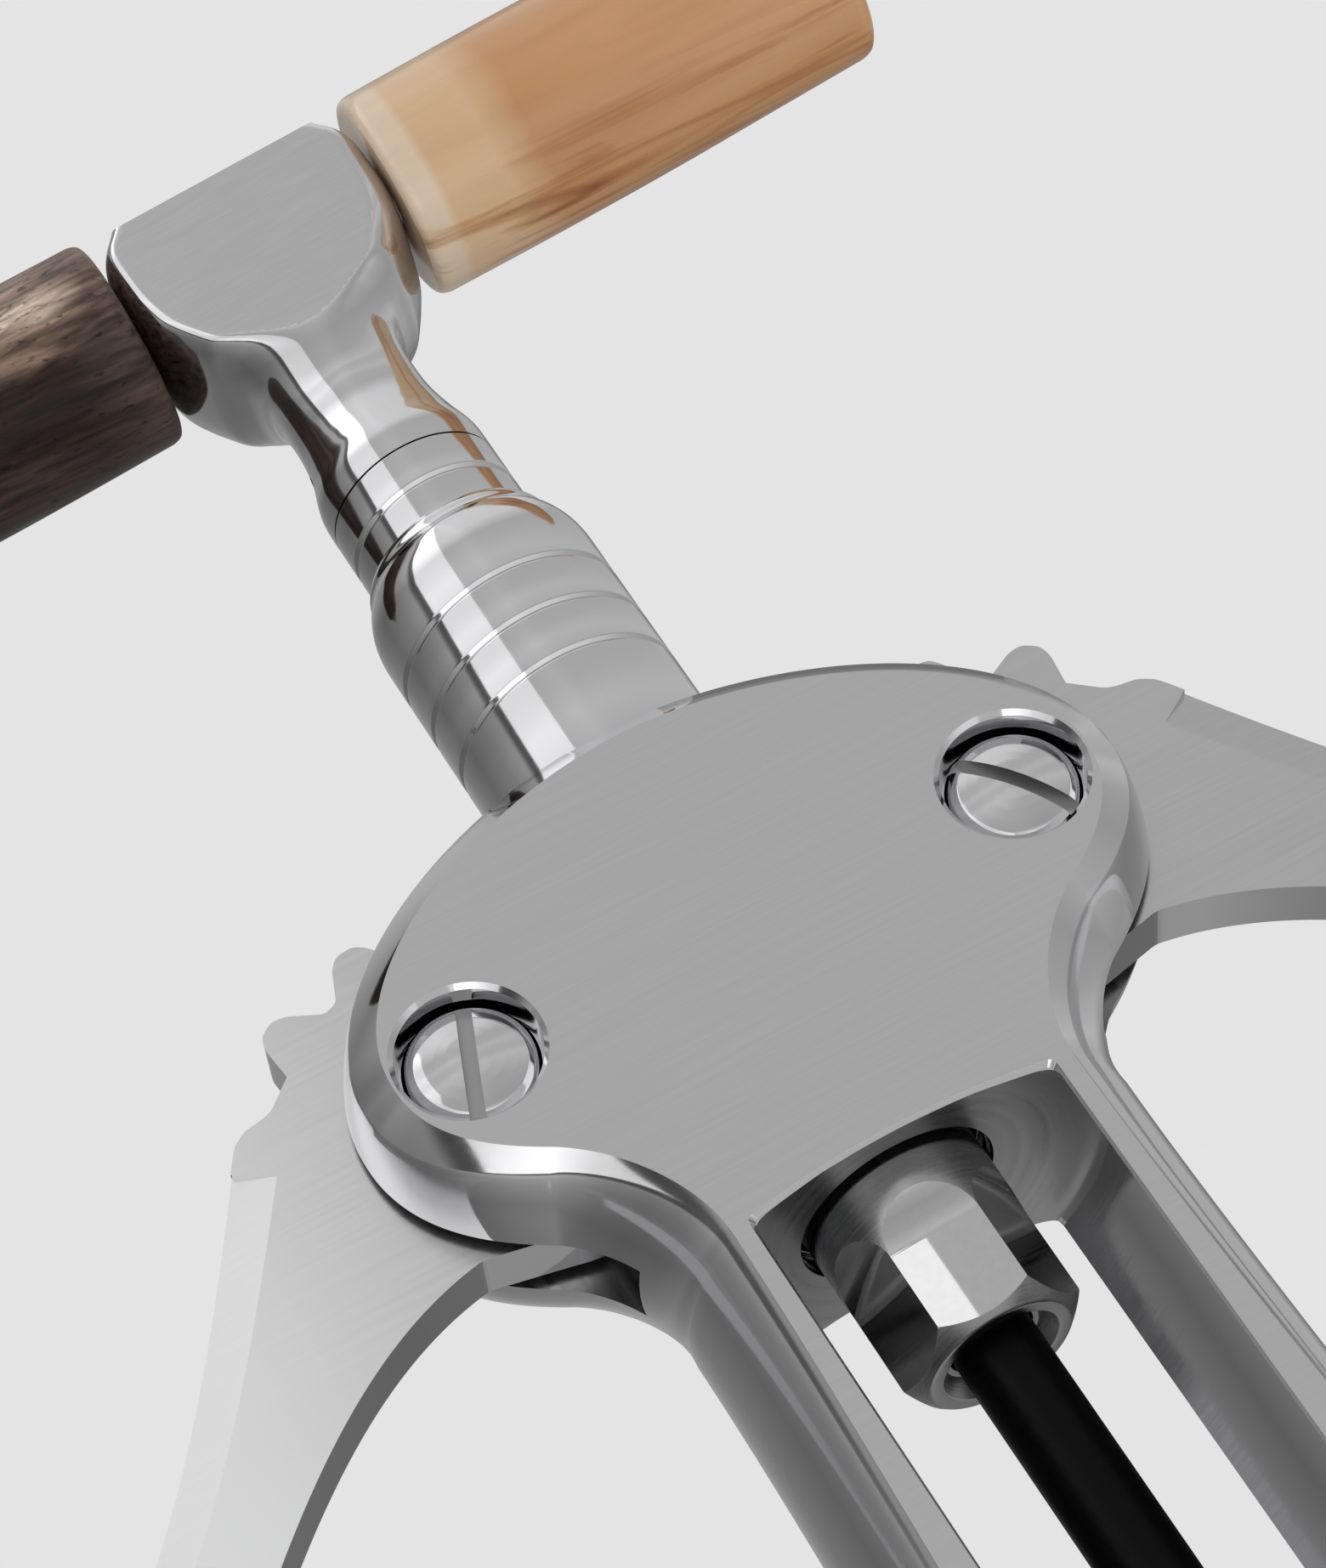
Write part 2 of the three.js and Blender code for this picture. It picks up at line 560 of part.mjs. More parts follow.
// horn grips: slightly barrelled, tapering to a softly rounded end
function gripSolid(sign) {
  const profile = [[0, GRIP_START], [GRIP_R - 0.9, GRIP_START], [GRIP_R - 0.25, GRIP_START + 0.25]];
  profile.push([GRIP_R, GRIP_START + 0.9], [GRIP_R + 0.12, 22], [GRIP_R + 0.08, 32], [GRIP_R - 0.15, 42]);
  profile.push([GRIP_R - 0.3, GRIP_END - 0.9], [GRIP_R - 0.5, GRIP_END - 0.3]);
  profile.push([GRIP_R - 0.9, GRIP_END], [0, GRIP_END]);
  const bore = rod(2.7, GRIP_START - 1, 34.4, 20);
  const solid = turned(profile, 28).subtract(bore);
  return solid.rotate([0, sign * 90, 0]).translate([0, 0, HANDLE_Z]);
}
addPiece(turning, 'grip_left', toGeometry(gripSolid(-1)), horn('dark_horn', 0x2d1e1a));
addPiece(turning, 'grip_right', toGeometry(gripSolid(1)), horn('blonde_horn', 0xb88a60));

export default part;
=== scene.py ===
"""Lever corkscrew with a horn T-handle: its looks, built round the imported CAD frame.

Metres, +Z up, front at -Y. Sizes inside the piece functions are in millimetres.
"""
import json
import math

import bmesh
import bpy
from mathutils import Matrix, Vector


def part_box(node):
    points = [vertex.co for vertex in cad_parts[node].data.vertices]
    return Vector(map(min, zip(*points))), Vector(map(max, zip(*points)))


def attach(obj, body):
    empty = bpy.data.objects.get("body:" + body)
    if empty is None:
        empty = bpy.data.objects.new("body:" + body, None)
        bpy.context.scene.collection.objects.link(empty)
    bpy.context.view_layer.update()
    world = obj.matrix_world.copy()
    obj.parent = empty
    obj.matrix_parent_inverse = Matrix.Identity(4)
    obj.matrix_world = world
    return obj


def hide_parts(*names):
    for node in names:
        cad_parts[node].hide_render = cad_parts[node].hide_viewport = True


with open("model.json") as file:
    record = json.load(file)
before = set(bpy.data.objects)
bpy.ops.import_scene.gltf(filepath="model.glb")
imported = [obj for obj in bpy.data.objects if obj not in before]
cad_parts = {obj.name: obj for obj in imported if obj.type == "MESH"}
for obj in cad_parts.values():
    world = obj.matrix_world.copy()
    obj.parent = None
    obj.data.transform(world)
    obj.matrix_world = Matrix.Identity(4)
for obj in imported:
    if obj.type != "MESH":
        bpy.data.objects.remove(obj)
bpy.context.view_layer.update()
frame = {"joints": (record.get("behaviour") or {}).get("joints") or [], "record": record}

MM = 0.001
JOINTS = {joint["name"]: joint for joint in frame["joints"]}
MOUNTS = {mount["name"]: mount for mount in frame["record"]["mounts"]}

# ---- driving dimensions, in millimetres, from the frame ----
PIVOT_X = JOINTS["lever_right_swing"]["pos_m"][0] / MM
PIVOT_Z = JOINTS["lever_right_swing"]["pos_m"][2] / MM
HANDLE_Z = JOINTS["handle_turn"]["pos_m"][2] / MM
BODY_HALF = -MOUNTS["front_face"]["pos_m"][1] / MM


def low(node):
    """Lowest z of a CAD node, in millimetres."""
    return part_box(node)[0][2] / MM


def high(node):
    """Highest z of a CAD node, in millimetres."""
    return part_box(node)[1][2] / MM


COLLAR_TOP = high("collar_bush")
FERRULE_FOOT = low("worm_ferrule")
FERRULE_TOP = high("worm_ferrule")
RACK_LOW = low("rack_sleeve")
RACK_HIGH = high("rack_sleeve")
HANDLE_YAW = -0.1      # the handle is turned a little in this pose, in radians
BORE_R = 15.2
BELL_R = 19.0
BELL_TOP = 21.0
SEAT_Z = 16.0
SEAT_R = 12.2
CEILING_Z = 82.95
DOME_R = 60.0
ROD_R = 6.75
ROD_GAP = 0.3
SHANK_R = 3.0
COLLAR_R = 8.8
SLOT_HALF = 3.0
SLOT_R = 17.0
LEVER_HALF = 2.1
GRIP_R = 8.4
GRIP_START = 11.1
GRIP_END = 50.0
STEM_TOP = PIVOT_Z + 50
FLAT_APOTHEM = ROD_R * math.cos(math.pi / 6)
FLAT_TURN = 30.6           # one spanner flat faces the front
RUN_OUT_Z = PIVOT_Z - 25.7
RUN_OUT_R = 6.6            # wheel that mills the flats
TEETH_FULL = 13            # teeth of a whole gear of the levers' size
PITCH_R = 15.2
COLLAR_SOCKET = (PIVOT_Z + 11.5, PIVOT_Z + 15.8)   # narrow part of the collar's seat
COLLAR_SOCKET_R = 8.1
COLLAR_SPIGOT = (PIVOT_Z + 11.8, PIVOT_Z + 16)     # the collar's threaded part, in that seat
COLLAR_SPIGOT_R = 7.9
RACK_BORE_R = 3.25
PIVOT_HOLE_R = 3.3
COUNTERBORE_R = 5.05
PIN_Z = STEM_TOP + 5
PIN_HOLE_R = 1.3
TIE_HOLE_R = 2.7
HUB_FACE = 7.1             # planed front and back of the hub, from its axis
HUB_CROWN_R = 13.0
HUB_CROWN_Z = -6.45


# brightness of the studio by direction, in degrees from the front towards +X
WALLS = (
    (-180, 0.42), (-150, 0.28), (-120, 0.20), (-90, 0.30), (-72, 0.42), (-67, 0.12),
    (-62, 0.12), (-60, 0.6), (0, 0.76), (14, 0.70), (60, 0.68), (100, 0.66),
    (135, 0.60), (150, 0.25), (162, 0.25), (172, 0.42), (180, 0.42))
# brightness by the sine of the elevation
HEIGHTS = (
    (-1, 1.35), (-0.75, 1.35), (-0.45, 0.8), (-0.2, 0.66), (0.1, 0.74), (0.34, 0.98),
    (0.41, 0.84), (0.47, 0.86), (0.53, 0.96), (0.58, 0.82), (0.66, 0.80), (0.78, 1.2), (1, 1.3))
STRIP = (-61.0, -23.5)     # tall softbox on the left, by its edges
STRIP_LEVEL = 1.3
BACKDROP = 0.776           # plain grey that the camera sees
# front panels, in metres: left, right, low and high edge, distance, radiance, and the nodes
# that they light
PANELS = {
    "lever_panel": (-0.56, 0.035, -0.26, 0.60, 0.49, 0.68, ("lever_left", "lever_right")),
    "ferrule_panel": (-0.02, 0.0353, 0.291, 0.70, 0.49, 0.8, ("worm_ferrule",)),
}


# ---- camera and light ----
CAMERA_PLACE = (-81.36, -313.84, -79.79)
CAMERA_RIGHT = (0.87186, 0.07412, -0.48412)
CAMERA_AHEAD = (0.22131, 0.82219, 0.52444)
CAMERA_LENS = 124.41


def make_camera():
    ahead = Vector(CAMERA_AHEAD).normalized()
    right = Vector(CAMERA_RIGHT)
    right = (right - ahead * right.dot(ahead)).normalized()
    up = right.cross(ahead)
    camera = bpy.data.objects.new("camera", bpy.data.cameras.new("camera"))
    turn = Matrix((right, up, -ahead)).transposed().to_4x4()
    camera.matrix_world = Matrix.Translation(Vector(CAMERA_PLACE) * MM) @ turn
    camera.data.sensor_width = 36
    camera.data.lens = CAMERA_LENS
    camera.data.clip_start = 0.01
    bpy.context.scene.collection.objects.link(camera)
    bpy.context.scene.camera = camera


def make_panel(name, left, right, foot, top, distance, radiance, nodes):
    """Rectangular softbox in front, flagged off all but some nodes."""
    light = bpy.data.lights.new(name, "AREA")
    light.shape = "RECTANGLE"
    light.size = right - left
    light.size_y = top - foot
    light.energy = radiance * math.pi * light.size * light.size_y
    lamp = bpy.data.objects.new(name, light)
    lamp.location = ((left + right) / 2, -distance, (foot + top) / 2)
    lamp.rotation_euler = (math.radians(90), 0, 0)
    lamp.visible_camera = False
    bpy.context.scene.collection.objects.link(lamp)
    lit = bpy.data.collections.new(name)
    for node in nodes:
        lit.objects.link(bpy.data.objects[f"{node}_fine"])
    lamp.light_linking.receiver_collection = lit


def make_world():
    """Pale backdrop for the eye, and for reflections a studio whose walls change with direction."""
    world = bpy.data.worlds.new("studio")
    world.use_nodes = True
    tree = world.node_tree
    tree.nodes.clear()
    link = tree.links.new
    place = tree.nodes.new("ShaderNodeTexCoord")
    split = tree.nodes.new("ShaderNodeSeparateXYZ")
    behind = tree.nodes.new("ShaderNodeMath")
    behind.operation = "MULTIPLY"
    behind.inputs[1].default_value = -1
    azimuth = tree.nodes.new("ShaderNodeMath")
    azimuth.operation = "ARCTAN2"
    walls = ramp_over(tree, azimuth.outputs[0], (-math.pi, math.pi), [
        ((degrees + 180) / 360, level) for degrees, level in WALLS])
    heights = ramp_over(tree, split.outputs["Z"], (-1, 1), [
        ((sine + 1) / 2, level) for sine, level in HEIGHTS])
    edges = []
    for degrees, side in zip(STRIP, ("GREATER_THAN", "LESS_THAN")):
        edge = tree.nodes.new("ShaderNodeMath")
        edge.operation = side
        edge.inputs[1].default_value = math.radians(degrees)
        link(azimuth.outputs[0], edge.inputs[0])
        edges.append(edge)
    within = tree.nodes.new("ShaderNodeMath")
    within.operation = "MULTIPLY"
    lit = tree.nodes.new("ShaderNodeMixRGB")
    lit.inputs[2].default_value = (STRIP_LEVEL, STRIP_LEVEL, STRIP_LEVEL, 1)
    product = tree.nodes.new("ShaderNodeMixRGB")
    product.blend_type = "MULTIPLY"
    product.inputs["Fac"].default_value = 1
    studio = tree.nodes.new("ShaderNodeBackground")
    backdrop = tree.nodes.new("ShaderNodeBackground")
    backdrop.inputs["Color"].default_value = (BACKDROP, BACKDROP, BACKDROP, 1)
    path = tree.nodes.new("ShaderNodeLightPath")
    mix = tree.nodes.new("ShaderNodeMixShader")
    out = tree.nodes.new("ShaderNodeOutputWorld")
    link(place.outputs["Generated"], split.inputs[0])
    link(split.outputs["Y"], behind.inputs[0])
    link(split.outputs["X"], azimuth.inputs[0])
    link(behind.outputs[0], azimuth.inputs[1])
    link(edges[0].outputs[0], within.inputs[0])
    link(edges[1].outputs[0], within.inputs[1])
    link(within.outputs[0], lit.inputs["Fac"])
    link(walls, lit.inputs[1])
    link(lit.outputs[0], product.inputs[1])
    link(heights, product.inputs[2])
    link(product.outputs[0], studio.inputs["Color"])
    link(path.outputs["Is Camera Ray"], mix.inputs[0])
    link(studio.outputs[0], mix.inputs[1])
    link(backdrop.outputs[0], mix.inputs[2])
    link(mix.outputs[0], out.inputs["Surface"])
    bpy.context.scene.world = world


def ramp_over(tree, source, span, stops):
    """Colour ramp that reads a value over a span."""
    remap = tree.nodes.new("ShaderNodeMapRange")
    remap.inputs["From Min"].default_value = span[0]
    remap.inputs["From Max"].default_value = span[1]
    ramp = tree.nodes.new("ShaderNodeValToRGB")
    set_ramp(ramp, stops)
    tree.links.new(source, remap.inputs["Value"])
    tree.links.new(remap.outputs[0], ramp.inputs[0])
    return ramp.outputs[0]


def set_ramp(node, stops):
    """Fills a colour ramp with (position, grey or colour) stops."""
    elements = node.color_ramp.elements
    while len(elements) > 1:
        elements.remove(elements[-1])
    for index, (position, value) in enumerate(stops):
        item = elements[0] if index == 0 else elements.new(position)
        item.position = position
        colour = value if isinstance(value, tuple) else (value, value, value)
        item.color = (*colour, 1)


# ---- mesh helpers, all in millimetres ----
def new_piece(name, vertices, faces):
    mesh = bpy.data.meshes.new(name)
    mesh.from_pydata([tuple(c * MM for c in v) for v in vertices], [], faces)
    piece = bpy.data.objects.new(name, mesh)
    bpy.context.scene.collection.objects.link(piece)
    build = bmesh.new()
    build.from_mesh(mesh)
    bmesh.ops.recalc_face_normals(build, faces=build.faces)
    build.to_mesh(mesh)
    build.free()
    return piece


def rounded(points, radius=0.15, steps=3):
    """Rounds the inner corners of an open polyline; a point may give its own radius."""
    plain = [(p[0], p[1]) for p in points]
    result = [plain[0]]
    for index in range(1, len(plain) - 1):
        here = Vector(plain[index])
        before = Vector(plain[index - 1]) - here
        after = Vector(plain[index + 1]) - here
        size = points[index][2] if len(points[index]) > 2 else radius
        size = min(size, before.length * 0.45, after.length * 0.45)
        if size < 0.005:
            result.append(plain[index])
            continue
        start = here + before.normalized() * size
        end = here + after.normalized() * size
        for step in range(steps + 1):
            t = step / steps
            spot = start * (1 - t) ** 2 + here * 2 * t * (1 - t) + end * t * t
            result.append((spot.x, spot.y))
    result.append(plain[-1])
    return result


def lathe(name, profile, sides=144, closed=False):
    """Turns (radius, z) points about Z. An open profile starts and ends on the axis."""
    rings = profile[:-1] if closed else profile
    vertices = []
    spans = []
    for radius, z in rings:
        if radius < 1e-6:
            spans.append([len(vertices)] * sides)
            vertices.append((0, 0, z))
            continue
        spans.append([len(vertices) + k for k in range(sides)])
        for k in range(sides):
            angle = 2 * math.pi * k / sides
            vertices.append((radius * math.cos(angle), radius * math.sin(angle), z))
    pairs = list(zip(spans, spans[1:]))
    if closed:
        pairs.append((spans[-1], spans[0]))
    faces = []
    for lower, upper in pairs:
        for k in range(sides):
            j = (k + 1) % sides
            corners = [lower[k], lower[j], upper[j], upper[k]]
            faces.append(list(dict.fromkeys(corners)))
    return new_piece(name, vertices, [face for face in faces if len(face) > 2])


def skin(name, sections):
    """Joins rings of equally many points into one closed body with flat ends."""
    count = len(sections[0])
    vertices = [point for section in sections for point in section]
    faces = []
    for row in range(len(sections) - 1):
        for k in range(count):
            a = row * count + k
            b = row * count + (k + 1) % count
            faces.append([a, b, b + count, a + count])
    faces.append(list(range(count)))
    last = (len(sections) - 1) * count
    faces.append([last + k for k in range(count)])
    return new_piece(name, vertices, faces)


def block(x, y, z):
    """Straight-sided cutter between (low, high) pairs."""
    ring = [(x[0], y[0]), (x[1], y[0]), (x[1], y[1]), (x[0], y[1])]
    return skin("block", [[(a, b, level) for a, b in ring] for level in z])


def rod(radius, z0, z1, sides=96):
    return lathe("rod", [(0, z0), (radius, z0), (radius, z1), (0, z1)], sides)


def plate(name, outline, y0, y1):
    return skin(name, [[(x, y, z) for x, z in outline] for y in (y0, y1)])


def moved(piece, matrix):
    piece.data.transform(matrix)
    if matrix.determinant() < 0:
        piece.data.flip_normals()
    return piece


def shifted(piece, x=0, y=0, z=0):
    return moved(piece, Matrix.Translation(Vector((x, y, z)) * MM))


def turned(piece, degrees, axis):
    return moved(piece, Matrix.Rotation(math.radians(degrees), 4, axis))


def combine(piece, tool, operation="DIFFERENCE"):
    """Cuts, joins or intersects piece with tool, and removes the tool."""
    modifier = piece.modifiers.new("combine", "BOOLEAN")
    modifier.operation = operation
    modifier.object = tool
    modifier.solver = "MANIFOLD"
    graph = bpy.context.evaluated_depsgraph_get()
    mesh = bpy.data.meshes.new_from_object(piece.evaluated_get(graph))
    piece.modifiers.clear()
    piece.data = mesh
    bpy.data.objects.remove(tool)
    if not mesh.polygons:
        raise RuntimeError(f"nothing is left of {piece.name} after {operation}")
    return piece


def bezier(p0, p1, p2, p3, count):
    points = []
    for k in range(count + 1):
        t = k / count
        s = 1 - t
        weights = (s ** 3, 3 * s * s * t, 3 * s * t * t, t ** 3)
        x = sum(w * p[0] for w, p in zip(weights, (p0, p1, p2, p3)))
        z = sum(w * p[1] for w, p in zip(weights, (p0, p1, p2, p3)))
        points.append((x, z))
    return points


# ---- materials ----
class Finish:
    """A procedural material: one Principled shader and helpers that add nodes to it."""

    def __init__(self, name, colour, metallic, roughness, **sockets):
        self.material = bpy.data.materials.new(name)
        self.material.use_nodes = True
        self.tree = self.material.node_tree
        self.shader = self.tree.nodes["Principled BSDF"]
        self.place = self.node("ShaderNodeTexCoord").outputs["Object"]
        self.normal = None
        sockets.update({"Base Color": (*colour, 1), "Metallic": metallic, "Roughness": roughness})
        for key, value in sockets.items():
            self.shader.inputs[key.replace("_", " ")].default_value = value

    def node(self, kind, **settings):
        made = self.tree.nodes.new(kind)
        for key, value in settings.items():
            setattr(made, key, value)
        return made

    def link(self, source, target):
        self.tree.links.new(source, target)

    def stretched(self, scale, turn=(0, 0, 0)):
        mapping = self.node("ShaderNodeMapping")
        mapping.inputs["Rotation"].default_value = turn
        mapping.inputs["Scale"].default_value = scale
        self.link(self.place, mapping.inputs["Vector"])
        return mapping.outputs[0]

    def noise(self, scale, turn=(0, 0, 0), detail=4, distortion=0.0):
        made = self.node("ShaderNodeTexNoise")
        made.inputs["Scale"].default_value = 1
        made.inputs["Detail"].default_value = detail
        made.inputs["Distortion"].default_value = distortion
        self.link(self.stretched(scale, turn), made.inputs["Vector"])
        return made.outputs["Fac"]

    def turning(self, scale):
        """Noise that depends only on the distance from the worm's axis."""
        flat = self.node("ShaderNodeVectorMath", operation="MULTIPLY")
        flat.inputs[1].default_value = (1, 1, 0)
        length = self.node("ShaderNodeVectorMath", operation="LENGTH")
        made = self.node("ShaderNodeTexNoise", noise_dimensions="1D")
        made.inputs["Scale"].default_value = scale
        made.inputs["Detail"].default_value = 3
        self.link(self.place, flat.inputs[0])
        self.link(flat.outputs[0], length.inputs[0])
        self.link(length.outputs["Value"], made.inputs["W"])
        return made.outputs["Fac"]

    def ranged(self, source, low_value, high_value):
        made = self.node("ShaderNodeMapRange")
        made.inputs["From Min"].default_value = 0.3
        made.inputs["From Max"].default_value = 0.7
        made.inputs["To Min"].default_value = low_value
        made.inputs["To Max"].default_value = high_value
        self.link(source, made.inputs["Value"])
        return made.outputs[0]

    def rough(self, source, low_value, high_value):
        self.link(self.ranged(source, low_value, high_value), self.shader.inputs["Roughness"])

    def bump(self, source, strength, depth):
        made = self.node("ShaderNodeBump")
        made.inputs["Strength"].default_value = strength
        made.inputs["Distance"].default_value = depth * MM
        self.link(source, made.inputs["Height"])
        if self.normal is not None:
            self.link(self.normal, made.inputs["Normal"])
        self.normal = made.outputs[0]
        self.link(self.normal, self.shader.inputs["Normal"])

    def tinted(self, source, stops):
        ramp = self.node("ShaderNodeValToRGB")
        set_ramp(ramp, stops)
        self.link(source, ramp.inputs[0])
        return ramp.outputs[0]

    def mixed(self, factor, first, second, kind="MIX"):
        made = self.node("ShaderNodeMixRGB", blend_type=kind)
        for source, target in ((factor, 0), (first, 1), (second, 2)):
            if isinstance(source, (float, int, tuple)):
                made.inputs[target].default_value = source
            else:
                self.link(source, made.inputs[target])
        return made.outputs[0]

    def weighed(self, source, weight, base):
        """source times weight, plus base."""
        made = self.node("ShaderNodeMath", operation="MULTIPLY_ADD")
        made.inputs[1].default_value = weight
        self.link(source, made.inputs[0])
        self.link(base, made.inputs[2])
        return made.outputs[0]

    def between(self, source, zero, one):
        """0 where source is at zero, 1 where it is at one, and clamped beyond."""
        made = self.node("ShaderNodeMapRange")
        made.inputs["From Min"].default_value = zero
        made.inputs["From Max"].default_value = one
        self.link(source, made.inputs["Value"])
        return made.outputs[0]

    def paint(self, source):
        self.link(source, self.shader.inputs["Base Color"])


def satin(name, colour, direction):
    """Fine brushed steel. direction is the turn of the brush lines about Y, in radians."""
    steel = Finish(name, colour, 1, 0.28)
    lines = steel.noise((110, 2600, 4200), (0, direction, 0), 4)
    clouds = steel.noise((60, 60, 60), (0, 0, 0), 2)
    steel.paint(steel.tinted(lines, [(0.3, tuple(c * 0.965 for c in colour)), (0.7, colour)]))
    steel.rough(steel.mixed(0.5, lines, clouds), 0.20, 0.27)
    steel.bump(lines, 0.014, 0.010)
    return steel.material


def polished(name, colour, roughness=0.07):
    """Mirror polish with the faint waviness that buffing leaves."""
    steel = Finish(name, colour, 1, roughness)
    waves = steel.noise((200, 200, 160), (0, 0, 0), 2)
    steel.rough(steel.noise((900, 3000, 900), (0.4, 0.2, 0.7), 2), roughness * 0.8, roughness * 1.3)
    steel.bump(waves, 0.06, 0.10)
    return steel.material


def machined(name, colour, roughness=0.24):
    """Turned steel, with the tool's rings round the worm's axis."""
    steel = Finish(name, colour, 1, roughness)
    rings = steel.turning(1500)
    steel.rough(rings, roughness * 0.85, roughness * 1.2)
    steel.bump(rings, 0.10, 0.02)
    return steel.material


def ground(name, colour, roughness=0.14):
    """Fine circumferential grinding on a cylinder about Z."""
    steel = Finish(name, colour, 1, roughness)
    lines = steel.noise((60, 60, 6500), (0, 0, 0), 4)
    steel.rough(lines, roughness * 0.6, roughness * 1.6)
    steel.bump(lines, 0.05, 0.01)
    return steel.material


def spun(name, colour):
    """Turned cylinder: its fine rings spread reflections up and down."""
    steel = Finish(name, colour, 1, 0.3, Anisotropic=0.75)
    tangent = steel.node("ShaderNodeTangent", direction_type="RADIAL", axis="Z")
    steel.link(tangent.outputs[0], steel.shader.inputs["Tangent"])
    rings = steel.noise((40, 40, 5200), (0, 0, 0), 4)
    steel.paint(steel.tinted(rings, [(0.3, tuple(c * 0.9 for c in colour)), (0.7, colour)]))
    steel.rough(rings, 0.22, 0.32)
    steel.bump(rings, 0.06, 0.01)
    return steel.material


def lapped(name, colour):
    """Flat lapped smooth enough to mirror an edge."""
    steel = Finish(name, colour, 1, 0.012)
    grain = steel.noise((1400, 1400, 1400), (0, 0, 0), 3)
    steel.paint(steel.tinted(grain, [(0.35, tuple(c * 0.96 for c in colour)), (0.65, colour)]))
    return steel.material


def coating(name):
    """Thin satin black coating over the worm, a little uneven."""
    black = Finish(name, (0.002, 0.002, 0.0022), 0, 0.4, Specular_IOR_Level=0.10)
    grain = black.noise((2500, 2500, 2500), (0, 0, 0), 4)
    black.rough(grain, 0.34, 0.48)
    black.bump(grain, 0.1, 0.01)
    return black.material


def bearing_bronze(name):
    bronze = Finish(name, (0.42, 0.28, 0.12), 1, 0.3)
    lines = bronze.noise((300, 3000, 300), (0, 0, 0), 4)
    bronze.paint(bronze.tinted(lines, [(0.3, (0.34, 0.22, 0.09)), (0.7, (0.46, 0.31, 0.14))]))
    bronze.rough(lines, 0.24, 0.4)
    return bronze.material


def blonde_horn():
    """Translucent pale horn: amber body, milky bands near the hub, brown streaks along its underside."""
    horn = Finish(
        "blonde_horn", (0.6, 0.34, 0.17), 0, 0.14, Subsurface_Weight=0.12,
        Subsurface_Scale=0.003, Coat_Weight=0.3, Coat_Roughness=0.04, IOR=1.5)
    axis = (0, 0, -HANDLE_YAW)
    place = horn.node("ShaderNodeSeparateXYZ")
    horn.link(horn.stretched((1, 1, 1), axis), place.inputs[0])
    body = horn.noise((22, 70, 70), axis, 3, 0.6)
    amber = horn.tinted(body, [
        (0.3, (0.74, 0.41, 0.19)), (0.5, (0.68, 0.355, 0.155)), (0.72, (0.60, 0.29, 0.115))])
    wobble = horn.noise((40, 140, 140), axis, 2)
    reach = horn.weighed(wobble, 0.004, place.outputs["X"])
    milk = horn.tinted(body, [(0.3, (0.86, 0.60, 0.37)), (0.7, (0.78, 0.51, 0.29))])
    coloured = horn.mixed(horn.between(reach, 0.0240, 0.0205), amber, milk)
    ring = horn.between(place.outputs["X"], 0.0142, 0.0134)
    coloured = horn.mixed(ring, coloured, (0.86, 0.68, 0.50, 1))
    fibre = horn.noise((60, 900, 900), axis, 5, 0.3)
    coloured = horn.mixed(1.0, coloured, horn.tinted(fibre, [(0.35, 0.955), (0.62, 1.0)]), "MULTIPLY")
    streak = horn.noise((42, 420, 330), axis, 5, 1.1)
    brown = horn.tinted(streak, [(0.50, 1.0), (0.60, (0.80, 0.66, 0.54)), (0.72, (0.46, 0.30, 0.21))])
    under = horn.between(place.outputs["Z"], (HANDLE_Z - 5.4) * MM, (HANDLE_Z - 8.0) * MM)
    horn.paint(horn.mixed(1.0, coloured, horn.mixed(under, (1, 1, 1, 1), brown), "MULTIPLY"))
    horn.rough(fibre, 0.12, 0.2)
    horn.bump(fibre, 0.05, 0.03)
    return horn.material


def dark_horn():
    """Dark horn, near-black brown with pitted fibrous grain; painted light makes its upper half lighter,
    with a pale band above the middle towards the outer end, and makes its end by the hub lighter.
    """
    horn = Finish(
        "dark_horn", (0.04, 0.018, 0.012), 0, 0.42, Coat_Weight=0.04, Coat_Roughness=0.12, IOR=1.5,
        Specular_IOR_Level=0.18)
    axis = (0, 0, -HANDLE_YAW)
    place = horn.node("ShaderNodeSeparateXYZ")
    horn.link(horn.stretched((1, 1, 1), axis), place.inputs[0])
    grain = horn.noise((160, 1300, 1300), axis, 6, 0.5)
    pits = horn.noise((900, 1900, 1900), axis, 3)
    wander = horn.noise((60, 300, 300), axis, 4, 0.8)
    level = horn.weighed(wander, 0.005, place.outputs["Z"])
    height = horn.between(level, (HANDLE_Z - 6.5) * MM, (HANDLE_Z + 13.5) * MM)
    # painted light over the horn's own near-black: lighter over the upper half, with a pale band where
    # the light falls on it
    dark_and_painted_sheen = horn.tinted(height, [
        (0.0, (0.045, 0.027, 0.022)), (0.10, (0.020, 0.011, 0.008)), (0.24, (0.035, 0.019, 0.013)),
        (0.36, (0.30, 0.20, 0.150)), (0.48, (0.95, 0.76, 0.62)), (0.60, (0.42, 0.30, 0.24)),
        (1.0, (0.19, 0.125, 0.10))])
    # painted light: the end by the hub is lighter than the rest, and lighter towards the top
    hub_end_and_painted_light = horn.tinted(height, [
        (0.2, (0.08, 0.052, 0.042)), (0.5, (0.16, 0.105, 0.084)), (0.8, (0.24, 0.165, 0.13))])
    reach = horn.weighed(wander, 0.006, place.outputs["X"])
    outer = horn.between(reach, -0.0095, -0.0150)
    coloured = horn.mixed(outer, hub_end_and_painted_light, dark_and_painted_sheen)
    fibrous = horn.tinted(grain, [(0.34, 0.40), (0.52, 1.0), (0.70, 1.7)])
    coloured = horn.mixed(1.0, coloured, fibrous, "MULTIPLY")
    pitted = horn.tinted(pits, [(0.30, 0.35), (0.40, 1.0), (0.72, 1.0), (0.78, 1.9)])
    coloured = horn.mixed(1.0, coloured, pitted, "MULTIPLY")
    horn.paint(coloured)
    horn.rough(grain, 0.26, 0.48)
    horn.bump(grain, 0.4, 0.05)
    horn.bump(pits, 0.3, 0.04)
    return horn.material


